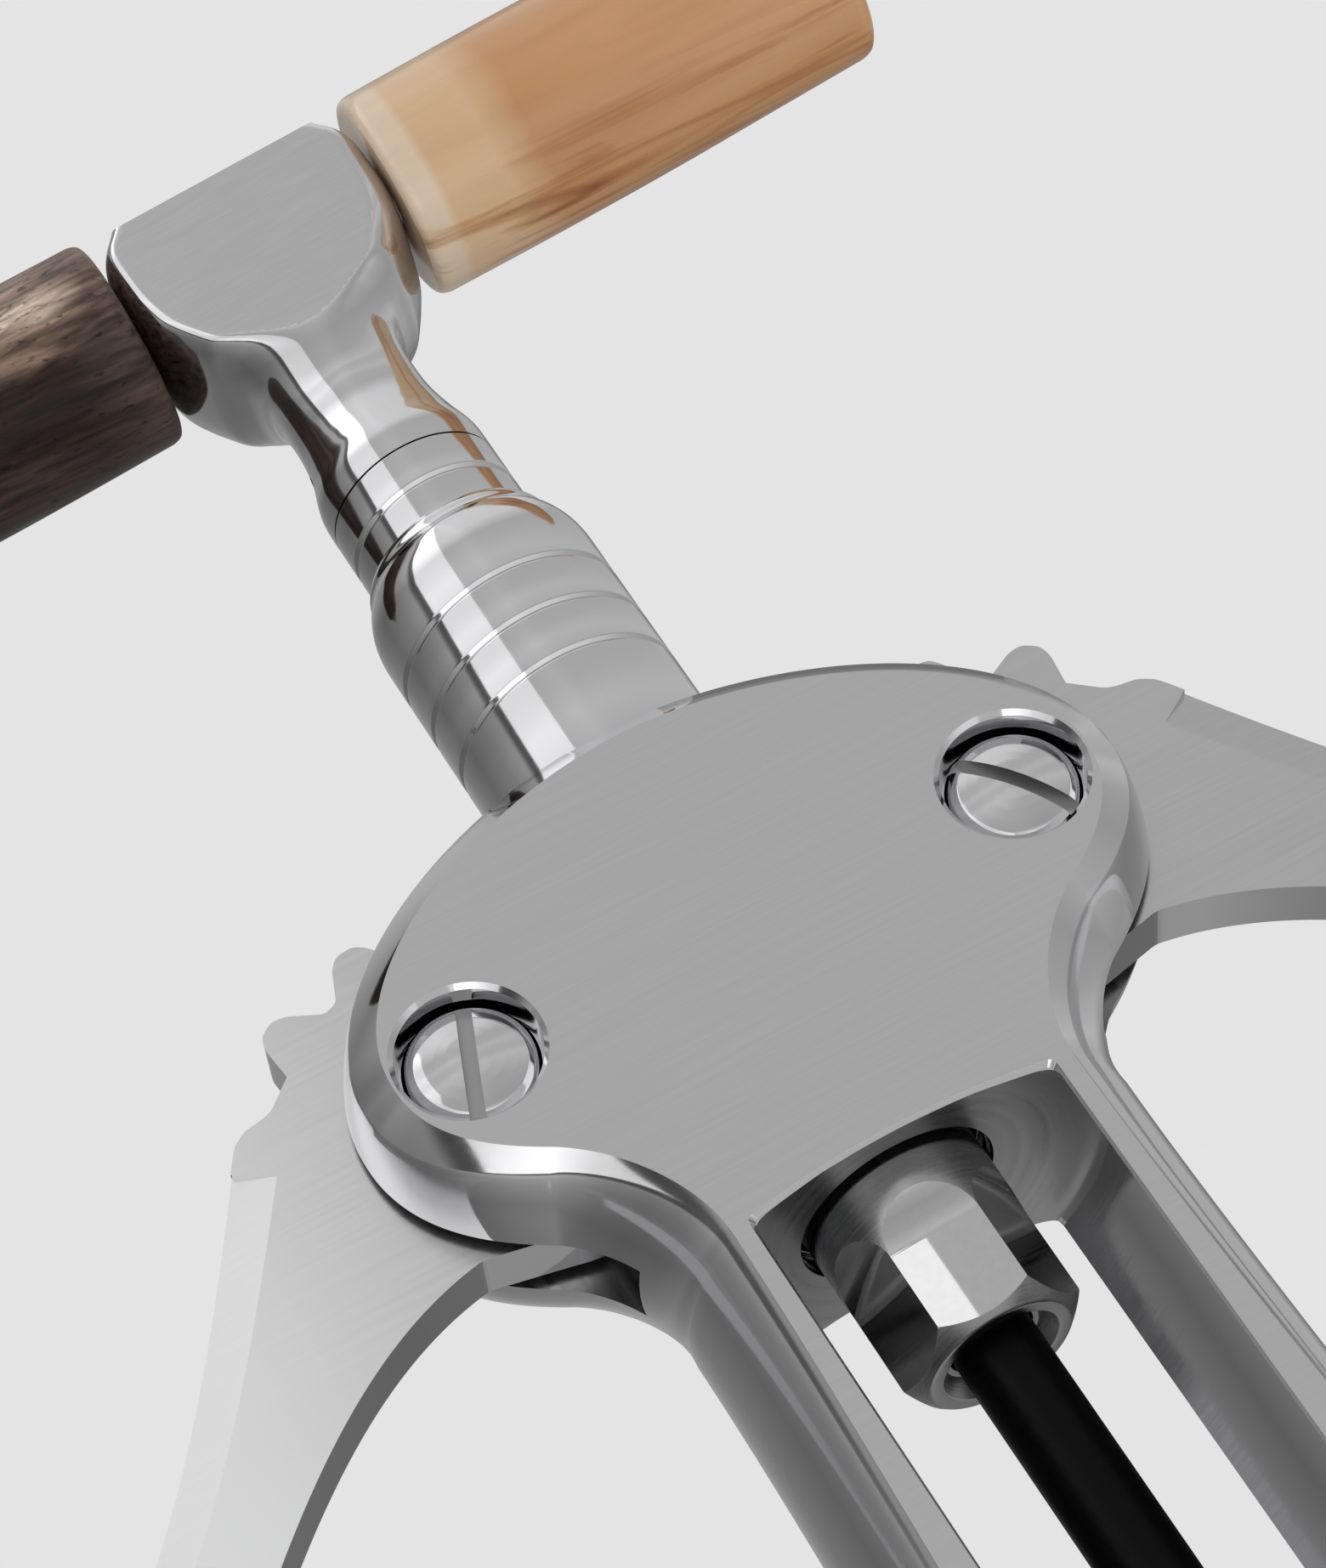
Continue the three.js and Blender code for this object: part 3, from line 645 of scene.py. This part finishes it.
FINISHES = {
    "satin": satin("satin_steel", (0.60, 0.60, 0.605), 0.0),
    "lever": satin("lever_steel", (0.58, 0.58, 0.585), 0.78),
    "polish": polished("polished_steel", (0.66, 0.66, 0.67)),
    "turned": machined("turned_steel", (0.38, 0.38, 0.385), 0.32),
    "ground": ground("ground_steel", (0.58, 0.58, 0.59)),
    "turning": spun("spun_steel", (0.44, 0.44, 0.445)),
    "lapped": lapped("lapped_steel", (0.60, 0.60, 0.605)),
    "slotted": satin("slot_steel", (0.42, 0.42, 0.42), 1.2),
    "coating": coating("worm_coating"),
    "bronze": bearing_bronze("bearing_bronze"),
    "blonde": blonde_horn(),
    "dark": dark_horn(),
}


def dress(piece, body, node, finishes, choose=None, sharp=28, plane=None):
    """Names, smooths and paints a finished piece, attaches it to its body and hides the CAD node that it
    stands for.

    plane tells which faces are planed: they are shaded flat, so rounded neighbours do not bend them.
    """
    piece.name = f"{node}_fine"
    piece.data.materials.clear()
    for key in finishes:
        piece.data.materials.append(FINISHES[key])
    for face in piece.data.polygons:
        face.material_index = choose(face.center / MM, face.normal) if choose else 0
    piece.data.set_sharp_from_angle(angle=math.radians(sharp))
    for face in piece.data.polygons:
        face.use_smooth = not (plane and plane(face))
    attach(piece, body)
    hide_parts(node)
    return piece


# ---- frame ----
def frame_half_outline():
    """Right half of the outline: x, z, inset of the flat face, bulge of the side, bevel's width."""
    stretches = [
        (bezier((0, 19.2), (13, 19.2), (28.7, 11), (28.7, 0.2), 64),
         (2.1, 2.1), (1.0, 1.1), (2.1, 2.1)),
        (bezier((28.7, 0.2), (28.7, -5.5), (24.6, -8.7), (20.6, -11), 40),
         (2.1, 1.8), (1.1, 1.7), (2.1, 1.1)),
        (bezier((20.6, -11), (17.2, -13), (13.95, -17.5), (13.95, -21.9), 40),
         (1.8, 1.1), (1.7, 3.2), (1.1, 0.45)),
        (bezier((13.95, -21.9), (14, -38), (15.6, -60), (16.4, -96), 40),
         (1.1, 1.2), (3.2, 2.4), (0.45, 0.45)),
    ]
    rows = []
    for points, *ends in stretches:
        for k, spot in enumerate(points):
            if k == 0 and rows:
                continue
            t = k / (len(points) - 1)
            rows.append((*spot, *(first + (last - first) * t for first, last in ends)))
    return rows


def frame_skin():
    """Flat faces, a bevel as deep as it is wide, and a side that swells out between the bevels."""
    rows = frame_half_outline()
    last = len(rows) - 1
    normals = []
    for k in range(last + 1):
        a, b = rows[max(0, k - 1)], rows[min(last, k + 1)]
        along = Vector((b[0] - a[0] if k < last else 0, b[1] - a[1] if k > 0 else 0)).normalized()
        normals.append((-along.y, along.x))
    levels = [None] + [-math.cos(math.pi * k / 20) for k in range(21)] + [None]
    sections = []
    for index, level in enumerate(levels):
        ring = []
        for (x, z, inset, bulge, bevel), (nx, nz) in zip(rows, normals):
            if level is None:
                off, y = -inset, BODY_HALF * (1 if index else -1)
            else:
                edge = bevel - inset
                off = edge + (bulge - edge) * max(0.0, 1 - level ** 2) ** 0.82
                y = level * (BODY_HALF - bevel)
            ring.append((x + nx * off, y, PIVOT_Z + z + nz * off))
        mirrored = [(-x, y, z) for x, y, z in reversed(ring[1:])]
        sections.append(ring + mirrored)
    return skin("frame_skin", sections)


def window_chamfer(side):
    """Cutter that breaks the edge between the bore and one flat face, at its arch and its sides."""
    sections = []
    for depth, grow in ((0.3, 0.65), (-0.35, 0.0)):
        half = math.sqrt(BORE_R ** 2 - BODY_HALF ** 2) + grow
        crown = [half - 2 * half * k / 20 for k in range(21)]
        arch = [(x, CEILING_Z - (x * x + BODY_HALF ** 2) / (2 * DOME_R) + grow, 0) for x in crown]
        arch[0] = (*arch[0][:2], 1.0)
        arch[-1] = (*arch[-1][:2], 1.0)
        ring = rounded([(half, BELL_TOP + 2), *arch, (-half, BELL_TOP + 2)], 0, 4)
        sections.append([(x, side * (BODY_HALF + depth), z) for x, z in ring])
    return skin("window_chamfer", sections)


def bore_cutter():
    edge = CEILING_Z - BORE_R ** 2 / (2 * DOME_R)
    profile = [(0, -1), (BORE_R + 0.8, -1), (BORE_R + 0.8, 0), (BORE_R, 0.8), (BORE_R, SEAT_Z)]
    profile += [(SEAT_R, SEAT_Z), (SEAT_R, SEAT_Z + 2.5), (BORE_R, SEAT_Z + 5), (BORE_R, edge - 0.9)]
    profile += [(BORE_R - 0.3, edge - 0.25, 0.3), (BORE_R - 1.0, edge + 0.12, 0.3)]
    profile += [(r, CEILING_Z - r * r / (2 * DOME_R)) for r in (11.5, 9.5, 7.5, 4, 0)]
    return lathe("bore", rounded(profile), 180)


def head_bore():
    """Cutter for the rod's bore, relieved at its mouth, and the collar's seat above it."""
    radius = ROD_R + ROD_GAP
    floor, step = COLLAR_SOCKET
    relief = CEILING_Z + 1.0
    profile = [(0, CEILING_Z - 6), (radius + 0.4, CEILING_Z - 6), (radius + 0.4, relief)]
    profile += [(radius, relief + 0.4), (radius, floor), (COLLAR_SOCKET_R, floor)]
    profile += [(COLLAR_SOCKET_R, step), (COLLAR_R + 0.12, step)]
    profile += [(COLLAR_R + 0.12, PIVOT_Z + 30), (0, PIVOT_Z + 30)]
    return lathe("head_bore", profile, 144)


def bell():
    profile = [(0, 0), (BELL_R - 0.8, 0), (BELL_R, 0.9), (BELL_R, 9), (BELL_R - 0.3, 13)]
    profile += [(BELL_R - 0.9, 17), (BELL_R - 1.5, 20), (BELL_R - 2.2, BELL_TOP, 0.5), (0, BELL_TOP)]
    return lathe("bell", rounded(profile, 0.3), 180)


def lever_slot(side):
    arc = [math.pi / 2 + math.pi * k / 60 for k in range(61)]
    outline = [(side * (PIVOT_X + SLOT_R * math.cos(a)), PIVOT_Z + SLOT_R * math.sin(a)) for a in arc]
    outline += [(side * 45, PIVOT_Z - SLOT_R), (side * 45, PIVOT_Z + SLOT_R)]
    return plate("slot", outline, -SLOT_HALF, SLOT_HALF)


def screw_bore(side, facing):
    """Counterbore with a broken rim; facing is -1 for the front and 1 for the back."""
    radius = COUNTERBORE_R
    profile = [(0, 6.4), (radius, 6.4), (radius, BODY_HALF - 0.35), (radius + 0.75, BODY_HALF + 0.4)]
    profile += [(radius + 0.75, 12), (0, 12)]
    cutter = lathe("counterbore", profile, 96)
    return shifted(turned(cutter, -90 * facing, "X"), side * PIVOT_X, 0, PIVOT_Z)


def frame_finish(centre, normal):
    """0 satin face, 1 polished outside, 2 turned dome and slots, 3 ground bore."""
    radius = math.hypot(centre.x, centre.y)
    if abs(normal.y) > 0.99 and abs(centre.y) > BODY_HALF - 0.05:
        return 0
    arch_edge = normal.z < -0.3 and abs(normal.y) > 0.4 and abs(centre.y) > BODY_HALF - 0.5
    inside = radius < BORE_R + 0.05 and centre.z < CEILING_Z + 0.2 and not arch_edge
    slot = abs(abs(centre.y) - SLOT_HALF) < 0.05 and abs(normal.y) > 0.9
    if inside and abs(normal.z) < 0.1:
        return 3
    return 2 if inside or slot else 1


def build_frame():
    piece = combine(frame_skin(), bell(), "UNION")
    piece = combine(piece, bore_cutter())
    piece = combine(piece, head_bore())
    for side in (-1, 1):
        piece = combine(piece, lever_slot(side))
        hole = turned(rod(PIVOT_HOLE_R, -12, 12), 90, "X")
        piece = combine(piece, shifted(hole, side * PIVOT_X, 0, PIVOT_Z))
        piece = combine(piece, window_chamfer(side))
        for facing in (-1, 1):
            piece = combine(piece, screw_bore(side, facing))
    dress(piece, "frame_body", "frame", ("satin", "polish", "turned", "ground"),
          frame_finish, plane=lambda face: abs(face.normal.y) > 0.99999)


def grooved(radius, z):
    """Fine V groove in a turned outline."""
    return [(radius, z - 0.3, 0.1), (radius - 0.3, z, 0.05), (radius, z + 0.3, 0.1)]


def build_collar():
    radius = ROD_R + ROD_GAP
    low_end, shoulder = COLLAR_SPIGOT
    profile = [(radius, low_end), (COLLAR_SPIGOT_R, low_end), (COLLAR_SPIGOT_R, shoulder)]
    profile += [(COLLAR_R, shoulder)]
    for height in (26.3, 30.6, 34.9):
        profile += grooved(COLLAR_R, PIVOT_Z + height)
    profile += [(COLLAR_R, COLLAR_TOP - 4.6, 1.2), (COLLAR_R - 0.2, COLLAR_TOP - 3.2, 0.8)]
    profile += [(COLLAR_R - 0.7, COLLAR_TOP - 1.9, 0.6), (COLLAR_R - 1.25, COLLAR_TOP - 1.1, 0.3)]
    profile += [(COLLAR_R - 1.3, COLLAR_TOP - 0.5, 0.2), (radius + 0.15, COLLAR_TOP, 0.08)]
    profile += [(radius, COLLAR_TOP - 0.2), (radius, low_end)]
    piece = lathe("collar", rounded(profile, 0.1, 4), 160, closed=True)
    dress(piece, "frame_body", "collar_bush", ("polish",), sharp=40)


# ---- levers ----
def lever_outline():
    """Right lever about its pivot: teeth, back of the head, inner edge, tip, outer edge."""
    step = 2 * math.pi / TEETH_FULL
    root, tip = 13.75, 16.6
    points = []

    def polar(radius, angle):
        points.append((radius * math.cos(angle), radius * math.sin(angle)))

    for k in range(7):
        middle = math.pi - (4.5 - k) * step
        flank = [(root, 0.2), (tip - 0.65, 0.092), (tip, 0.04)]
        for radius, spread in flank:
            polar(radius, middle - spread)
        for radius, spread in reversed(flank):
            polar(radius, middle + spread)
    for k in range(1, 7):
        polar(root + (11.3 - root) * k / 6, math.pi + 1.5 * step + 0.2 + k * 0.1)
    points += bezier((5.1, -10.05), (13.5, -11.4), (21, -17.4), (28.5, -24.8), 24)
    points += bezier((28.5, -24.8), (40, -36.2), (52, -49.5), (63.2, -60.8), 16)[1:]
    for k in range(25):
        angle = -2.5 + 2.95 * k / 24
        points.append((67.7 + 5.58 * math.cos(angle), -57.5 + 5.58 * math.sin(angle)))
    points += bezier((71.6, -53.4), (60, -42.6), (46, -30.6), (34.2, -19.2), 16)
    points += bezier((34.2, -19.2), (27.2, -12), (20.3, -1.2), (16.1, 5.5), 24)[1:]
    points += [(15.4, 6.5), (14.3, 7.2), (12.9, 7.4), (12.0, 7.7)]
    return rounded(points + points[:1], 0.4, 3)[:-1]


def facet_cutter(side, facing):
    """Wedge along the outer edge that leaves a shallow facet about 3 mm wide on one face."""
    path = bezier((71.6, -53.4), (60, -42.6), (46, -30.6), (34.2, -19.2), 20)
    path += bezier((34.2, -19.2), (27.2, -12), (20.3, -1.2), (16.6, 4.6), 24)[1:]
    sections = []
    for k, (x, z) in enumerate(path):
        a, b = path[max(0, k - 1)], path[min(len(path) - 1, k + 1)]
        along = Vector((b[0] - a[0], b[1] - a[1])).normalized()
        inward = Vector((-along.y, along.x))
        width = 2.2 + 0.9 * k / (len(path) - 1)
        corners = [(width, 0.0), (-3.0, 0.17 * (width + 3.0)), (-3.0, -3.0), (width, -3.0)]
        sections.append([
            (side * (x + inward.x * u), facing * (LEVER_HALF - depth), z + inward.y * u)
            for u, depth in corners])
    return shifted(skin("facet", sections), side * PIVOT_X, 0, PIVOT_Z)


def lever_finish(centre, normal):
    """0 brushed faces and facets, 1 polished edge."""
    return 0 if abs(normal.y) > 0.9 else 1


def build_lever(name, side):
    outline = [(side * x, z) for x, z in lever_outline()]
    piece = shifted(plate("lever", outline, -LEVER_HALF, LEVER_HALF), side * PIVOT_X, 0, PIVOT_Z)
    bore = shifted(turned(rod(4.35, -4, 4), 90, "X"), side * PIVOT_X, 0, PIVOT_Z)
    piece = combine(piece, bore)
    for facing in (-1, 1):
        piece = combine(piece, facet_cutter(side, facing))
    dress(piece, f"lever_{name}_body", f"lever_{name}", ("lever", "polish"),
          lever_finish, 7)


def build_bush(name, side):
    ring = [(3.2, -2.05), (4.2, -2.05), (4.2, 2.05), (3.2, 2.05), (3.2, -2.05)]
    piece = turned(lathe("bush", rounded(ring, 0.1), 96, closed=True), 90, "X")
    shifted(piece, side * PIVOT_X, 0, PIVOT_Z)
    dress(piece, f"lever_{name}_body", f"lever_bush_{name}", ("bronze",))


# ---- pivot hardware ----
DOME_HEAD_R = 10.0
SLOT_FLOOR = 8.05
PIVOT_SHANK_R = 3.0
SCREW_THREAD_R = 1.9
NUT_BORE_R = 2.1
WASHER_INNER_R = 3.25
WASHER_OUTER_R = 7.2


def head_finish(centre, normal):
    """1 for the floor and walls of the screwdriver slot, 0 for the rest."""
    from_pivot = math.hypot(abs(centre.x) - PIVOT_X, centre.z - PIVOT_Z)
    floor = abs(abs(centre.y) - SLOT_FLOOR) < 0.05 and abs(normal.y) > 0.9
    wall = SLOT_FLOOR < abs(centre.y) and abs(normal.y) < 0.1 and from_pivot < 4.6
    return 1 if floor or wall else 0


def slotted_head(angle):
    """Domed head with a chamfered edge and a screwdriver slot; it looks along +Z."""
    radius, top = 4.75, 9.75
    profile = [(0, 6.6), (radius, 6.6), (radius, top - 1.75, 0.12), (radius - 0.35, top - 1.15, 0.2)]
    profile += [(r, top - r * r / (2 * DOME_HEAD_R)) for r in (3.9, 3.2, 2.4, 1.6, 0.8, 0)]
    head = lathe("head", rounded(profile, 0.12, 4), 128)
    slot = turned(block((-7, 7), (-0.55, 0.55), (SLOT_FLOOR, top + 2)), angle, "Z")
    return combine(head, slot)


def build_screw(name, side, angle):
    head = combine(slotted_head(angle), rod(PIVOT_SHANK_R, -5.6, 6.7), "UNION")
    head = combine(head, rod(SCREW_THREAD_R, -8.2, -5.5), "UNION")
    piece = shifted(turned(head, 90, "X"), side * PIVOT_X, 0, PIVOT_Z)
    dress(piece, "frame_body", f"pivot_screw_{name}", ("polish", "slotted"),
          head_finish)


def build_nut(name, side, angle):
    head = combine(slotted_head(angle), rod(PIVOT_SHANK_R, 5.9, 6.7), "UNION")
    head = combine(head, rod(NUT_BORE_R, 4, 8.55))
    piece = shifted(turned(head, -90, "X"), side * PIVOT_X, 0, PIVOT_Z)
    dress(piece, "frame_body", f"pivot_nut_{name}", ("polish", "slotted"),
          head_finish)


def build_washer(name, side, y0, y1):
    inner, outer = WASHER_INNER_R, WASHER_OUTER_R
    ring = [(inner, y0), (outer, y0), (outer, y1), (inner, y1), (inner, y0)]
    piece = turned(lathe("washer", rounded(ring, 0.06), 96, closed=True), -90, "X")
    shifted(piece, side * PIVOT_X, 0, PIVOT_Z)
    dress(piece, "frame_body", name, ("bronze",))


# ---- rack and the turning parts ----
def build_rack():
    pitch = 2 * math.pi * PITCH_R / TEETH_FULL
    root, bore = 4.15, RACK_BORE_R
    profile = [(bore, RACK_LOW), (root, RACK_LOW)]
    for k in range(-2, 4):
        z = PIVOT_Z + k * pitch
        profile += [(root, z - 2.2, 0.3), (ROD_R, z - 1.0, 0.3)]
        profile += [(ROD_R, z + 1.0, 0.3), (root, z + 2.2, 0.3)]
    profile += [(root, RACK_HIGH), (bore, RACK_HIGH), (bore, RACK_LOW)]
    piece = lathe("rack", rounded(profile, 0.1, 3), 96, closed=True)
    dress(piece, "rack_body", "rack_sleeve", ("ground",))


def cross_cylinder(radius, half, z, sides=96):
    """Cylinder along X at height z."""
    return shifted(turned(rod(radius, -half, half, sides), 90, "Y"), 0, 0, z)


def yawed(piece):
    """Turns a piece with the handle."""
    return turned(piece, math.degrees(HANDLE_YAW), "Z")


def build_spindle():
    foot = RACK_HIGH + 1.1
    profile = [(0, RACK_LOW - 3.5), (SHANK_R, RACK_LOW - 3.5), (SHANK_R, foot)]
    profile += [(ROD_R - 0.4, foot), (ROD_R, foot + 0.4)]
    for height in (42.2, 46.6):
        profile += grooved(ROD_R, PIVOT_Z + height)
    profile += [(ROD_R, STEM_TOP - 0.06), (ROD_R - 0.06, STEM_TOP), (3.4, STEM_TOP), (3.4, STEM_TOP + 9)]
    piece = lathe("spindle", rounded(profile + [(0, STEM_TOP + 9)], 0.1, 4), 144)
    piece = yawed(combine(piece, cross_cylinder(PIN_HOLE_R, 8, PIN_Z, 48)))
    dress(piece, "handle_body", "spindle", ("polish",), sharp=40)


def build_thrust_washer(name, z0, z1):
    bore = RACK_BORE_R
    ring = [(bore, z0), (6.3, z0), (6.3, z1), (bore, z1), (bore, z0)]
    piece = lathe("thrust", rounded(ring, 0.06), 96, closed=True)
    dress(piece, "handle_body", name, ("bronze",))


def ferrule_finish(centre, normal):
    """1 for the spanner flats with their run-outs, 0 for the turned parts."""
    radius = math.hypot(centre.x, centre.y)
    outward = (normal.x * centre.x + normal.y * centre.y) / max(radius, 1e-6)
    return 1 if 5.5 < radius < ROD_R - 0.03 and outward > 0.8 and centre.z < RUN_OUT_Z + 4.5 else 0


def build_ferrule():
    foot = FERRULE_FOOT
    profile = [(0, foot + 1.4), (3.6, foot + 1.4), (4.4, foot, 0.1), (5.35, foot, 0.2)]
    profile += [(ROD_R, foot + 1.3, 0.15), (ROD_R, FERRULE_TOP, 0.2), (0, FERRULE_TOP)]
    piece = lathe("ferrule", rounded(profile, 0.1, 4), 180)
    for k in range(6):
        wheel = turned(rod(RUN_OUT_R, -9, 9, 200), 90, "X")
        wheel = shifted(wheel, FLAT_APOTHEM + RUN_OUT_R, 0, RUN_OUT_Z)
        sweep = block((FLAT_APOTHEM, FLAT_APOTHEM + 8), (-9, 9), (foot - 4, RUN_OUT_Z))
        piece = combine(piece, turned(combine(wheel, sweep, "UNION"), k * 60 + FLAT_TURN, "Z"))
    piece = combine(piece, rod(SHANK_R + 0.2, RACK_LOW - 3.9, FERRULE_TOP + 1))
    piece = combine(piece, rod(SHANK_R + 0.2, foot - 1, foot + 8.4))
    dress(yawed(piece), "handle_body", "worm_ferrule", ("turning", "lapped"),
          ferrule_finish, 20, lambda face: face.area > 20 * MM * MM)


def build_worm():
    """Straight shank that runs out into an open right-hand helix with a sharpened tip."""
    helix_top, pitch, helix_r, wire_r = 48.0, 9.0, 2.75, 1.6
    tip = 2.0
    sides, slices = 20, 360
    sections = []

    def circle(x, y, radius, z):
        angles = [2 * math.pi * k / sides for k in range(sides)]
        return [(x + radius * math.cos(a), y + radius * math.sin(a), z) for a in angles]

    sections.append(circle(0, 0, SHANK_R, FERRULE_FOOT + 8.1))
    for k in range(slices + 1):
        t = k / slices
        z = helix_top + (tip - helix_top) * t
        ease = min(1.0, t / 0.12)
        smooth = ease * ease * (3 - 2 * ease)
        taper = 1 - 0.82 * max(0.0, t - 0.9) / 0.1
        reach = helix_r * smooth
        angle = 2 * math.pi * (helix_top - z) / pitch + 0.6
        radius = (SHANK_R + (wire_r - SHANK_R) * smooth) * taper
        sections.append(circle(reach * math.cos(angle), reach * math.sin(angle), radius, z))
    dress(yawed(skin("worm", sections)), "handle_body", "worm", ("coating",), sharp=50)


# ---- handle ----
def smooth_rows(rows, between=6):
    """Catmull-Rom rows through the given ones, for a smooth forged shape."""
    result = []
    for k in range(len(rows) - 1):
        a, b, c, d = rows[max(0, k - 1)], rows[k], rows[k + 1], rows[min(len(rows) - 1, k + 2)]
        for step in range(between):
            t = step / between
            result.append(tuple(
                0.5 * (2 * q + (r - p) * t + (2 * p - 5 * q + 4 * r - s) * t ** 2
                       + (3 * q - p - 3 * r + s) * t ** 3)
                for p, q, r, s in zip(a, b, c, d)))
    result.append(rows[-1])
    return result


def eased(value, most, blend):
    """value held at most, with a rounded corner that starts blend before it."""
    past = value - most + blend
    if past <= 0:
        return value
    return most if past >= 2 * blend else value - past * past / (4 * blend)


def facing_front(normal):
    """How squarely a direction meets the handle's front or back, from 0 to 1."""
    return abs((Matrix.Rotation(-HANDLE_YAW, 3, "Z") @ normal).y)


def hub_finish(centre, normal):
    """0 satin front and back faces, 1 polished everywhere else."""
    return 0 if facing_front(normal) > 0.985 and centre.z > HANDLE_Z - 14 else 1


def build_hub():
    """Waisted neck that swells into a block whose front and back are planed flat."""
    count = 120
    # each row: height about the handle axis, half width, half depth, squareness
    rows = [(-25.9, 6.75, 6.75, 2), (-23.6, 6.7, 6.7, 2), (-21.6, 6.2, 6.2, 2), (-19.8, 5.75, 5.75, 2.1)]
    rows += [(-18, 5.5, 5.6, 2.1), (-16, 5.4, 5.7, 2.2), (-14.2, 5.45, 6.2, 2.3), (-12.6, 5.7, 6.9, 2.4)]
    rows += [(-11.2, 6.3, 7.6, 2.8), (-10.2, 7.1, 7.9, 3.5), (-9.2, 8.1, 8.0, 4.4)]
    rows += [(-8.0, 8.9, 8.1, 4.6)]
    rows += [(-6.6, 9.7, 8.2, 4.8), (-5, 10.5, 8.3, 4.6), (-2.6, 10.95, 8.4, 4.6), (0, 11.0, 8.4, 4.8)]
    rows += [(2, 10.9, 8.4, 5), (3.2, 10.5, 8.4, 5), (4.2, 9.8, 8.3, 4.8), (5.2, 9.1, 8.2, 4.6)]
    rows += [(6.6, 8.4, 8.0, 4.4)]
    sections = []
    for z, a, b, power in smooth_rows(rows):
        ring = []
        for k in range(count):
            angle = 2 * math.pi * k / count
            c, s = math.cos(angle), math.sin(angle)
            x = math.copysign(a * abs(c) ** (2 / power), c)
            y = math.copysign(b * abs(s) ** (2 / power), s)
            ring.append((x, math.copysign(eased(abs(y), HUB_FACE, 0.5), y), HANDLE_Z + z))
        sections.append(ring)
    wide = (-20, 20)
    piece = combine(skin("hub", sections), block(wide, wide, (STEM_TOP + 0.04, 200)), "INTERSECT")
    crown = cross_cylinder(HUB_CROWN_R, 20, HANDLE_Z + HUB_CROWN_Z, 256)
    keep = combine(crown, block(wide, wide, (STEM_TOP - 5, HANDLE_Z)), "UNION")
    piece = combine(piece, keep, "INTERSECT")
    piece = combine(piece, rod(3.6, HANDLE_Z - 27, STEM_TOP + 9.4))
    piece = combine(piece, cross_cylinder(TIE_HOLE_R, 12, HANDLE_Z))
    piece = combine(piece, cross_cylinder(PIN_HOLE_R, 8, PIN_Z, 48))
    dress(yawed(piece), "handle_body", "handle_hub", ("satin", "polish"),
          hub_finish, 24, lambda face: facing_front(face.normal) > 0.99999)


def build_cross_rod(node, radius, half, z, finish):
    profile = [(0, -half), (radius, -half), (radius, half), (0, half)]
    piece = shifted(turned(lathe("cross", rounded(profile, 0.25), 72), 90, "Y"), 0, 0, z)
    dress(yawed(piece), "handle_body", node, (finish,))


def build_grip(name, side, finish):
    profile = [(0, GRIP_START), (GRIP_R - 0.9, GRIP_START, 0.2), (GRIP_R - 0.25, GRIP_START + 0.25, 0.3)]
    profile += [(GRIP_R, GRIP_START + 0.9, 0.6), (GRIP_R + 0.12, 22, 6), (GRIP_R + 0.08, 32, 4)]
    profile += [(GRIP_R - 0.15, 42, 3), (GRIP_R - 0.3, GRIP_END - 0.9, 0.5)]
    profile += [(GRIP_R - 0.5, GRIP_END - 0.3, 0.2), (GRIP_R - 0.9, GRIP_END, 0.2), (0, GRIP_END)]
    piece = combine(lathe("grip", rounded(profile, 0.3, 8), 144), rod(TIE_HOLE_R, GRIP_START - 1, 34.4))
    piece = shifted(turned(piece, side * 90, "Y"), 0, 0, HANDLE_Z)
    dress(yawed(piece), "handle_body", f"grip_{name}", (finish,), sharp=40)


def build_floor():
    """Round pale base under the foot."""
    profile = [(0, -3), (88, -3), (90, -2.4), (90, -0.6), (88, -0.02), (0, -0.02)]
    floor = lathe("floor", rounded(profile, 0.4), 160)
    plain = Finish(
        "floor_plain", (0.8, 0.8, 0.8), 0, 0.7, Emission_Color=(1, 1, 1, 1), Emission_Strength=0.12)
    plain.rough(plain.noise((300, 300, 300)), 0.62, 0.8)
    floor.data.materials.append(plain.material)
    for face in floor.data.polygons:
        face.use_smooth = True
    floor.data.set_sharp_from_angle(angle=math.radians(35))


make_camera()
make_world()
bpy.context.scene.view_settings.view_transform = "Standard"

build_frame()
build_collar()
SIDES = (("left", -1, 69, 40), ("right", 1, -54, 75))   # name, side, slot angles of screw and nut
for name, side, screw_angle, nut_angle in SIDES:
    build_lever(name, side)
    build_bush(name, side)
    build_screw(name, side, screw_angle)
    build_nut(name, side, nut_angle)
    build_washer(f"washer_front_{name}", side, -2.8, -2.3)
    build_washer(f"washer_back_{name}", side, 2.3, 2.8)
build_rack()
build_spindle()
build_thrust_washer("thrust_washer_upper", RACK_HIGH + 0.25, RACK_HIGH + 0.85)
build_thrust_washer("thrust_washer_lower", RACK_LOW - 0.85, RACK_LOW - 0.25)
build_ferrule()
build_worm()
build_hub()
build_cross_rod("hub_pin", 1.05, 5.0, PIN_Z, "ground")
build_cross_rod("handle_rod", 2.4, 34.0, HANDLE_Z, "ground")
build_grip("left", -1, "dark")
build_grip("right", 1, "blonde")
build_floor()
for panel, settings in PANELS.items():
    make_panel(panel, *settings)
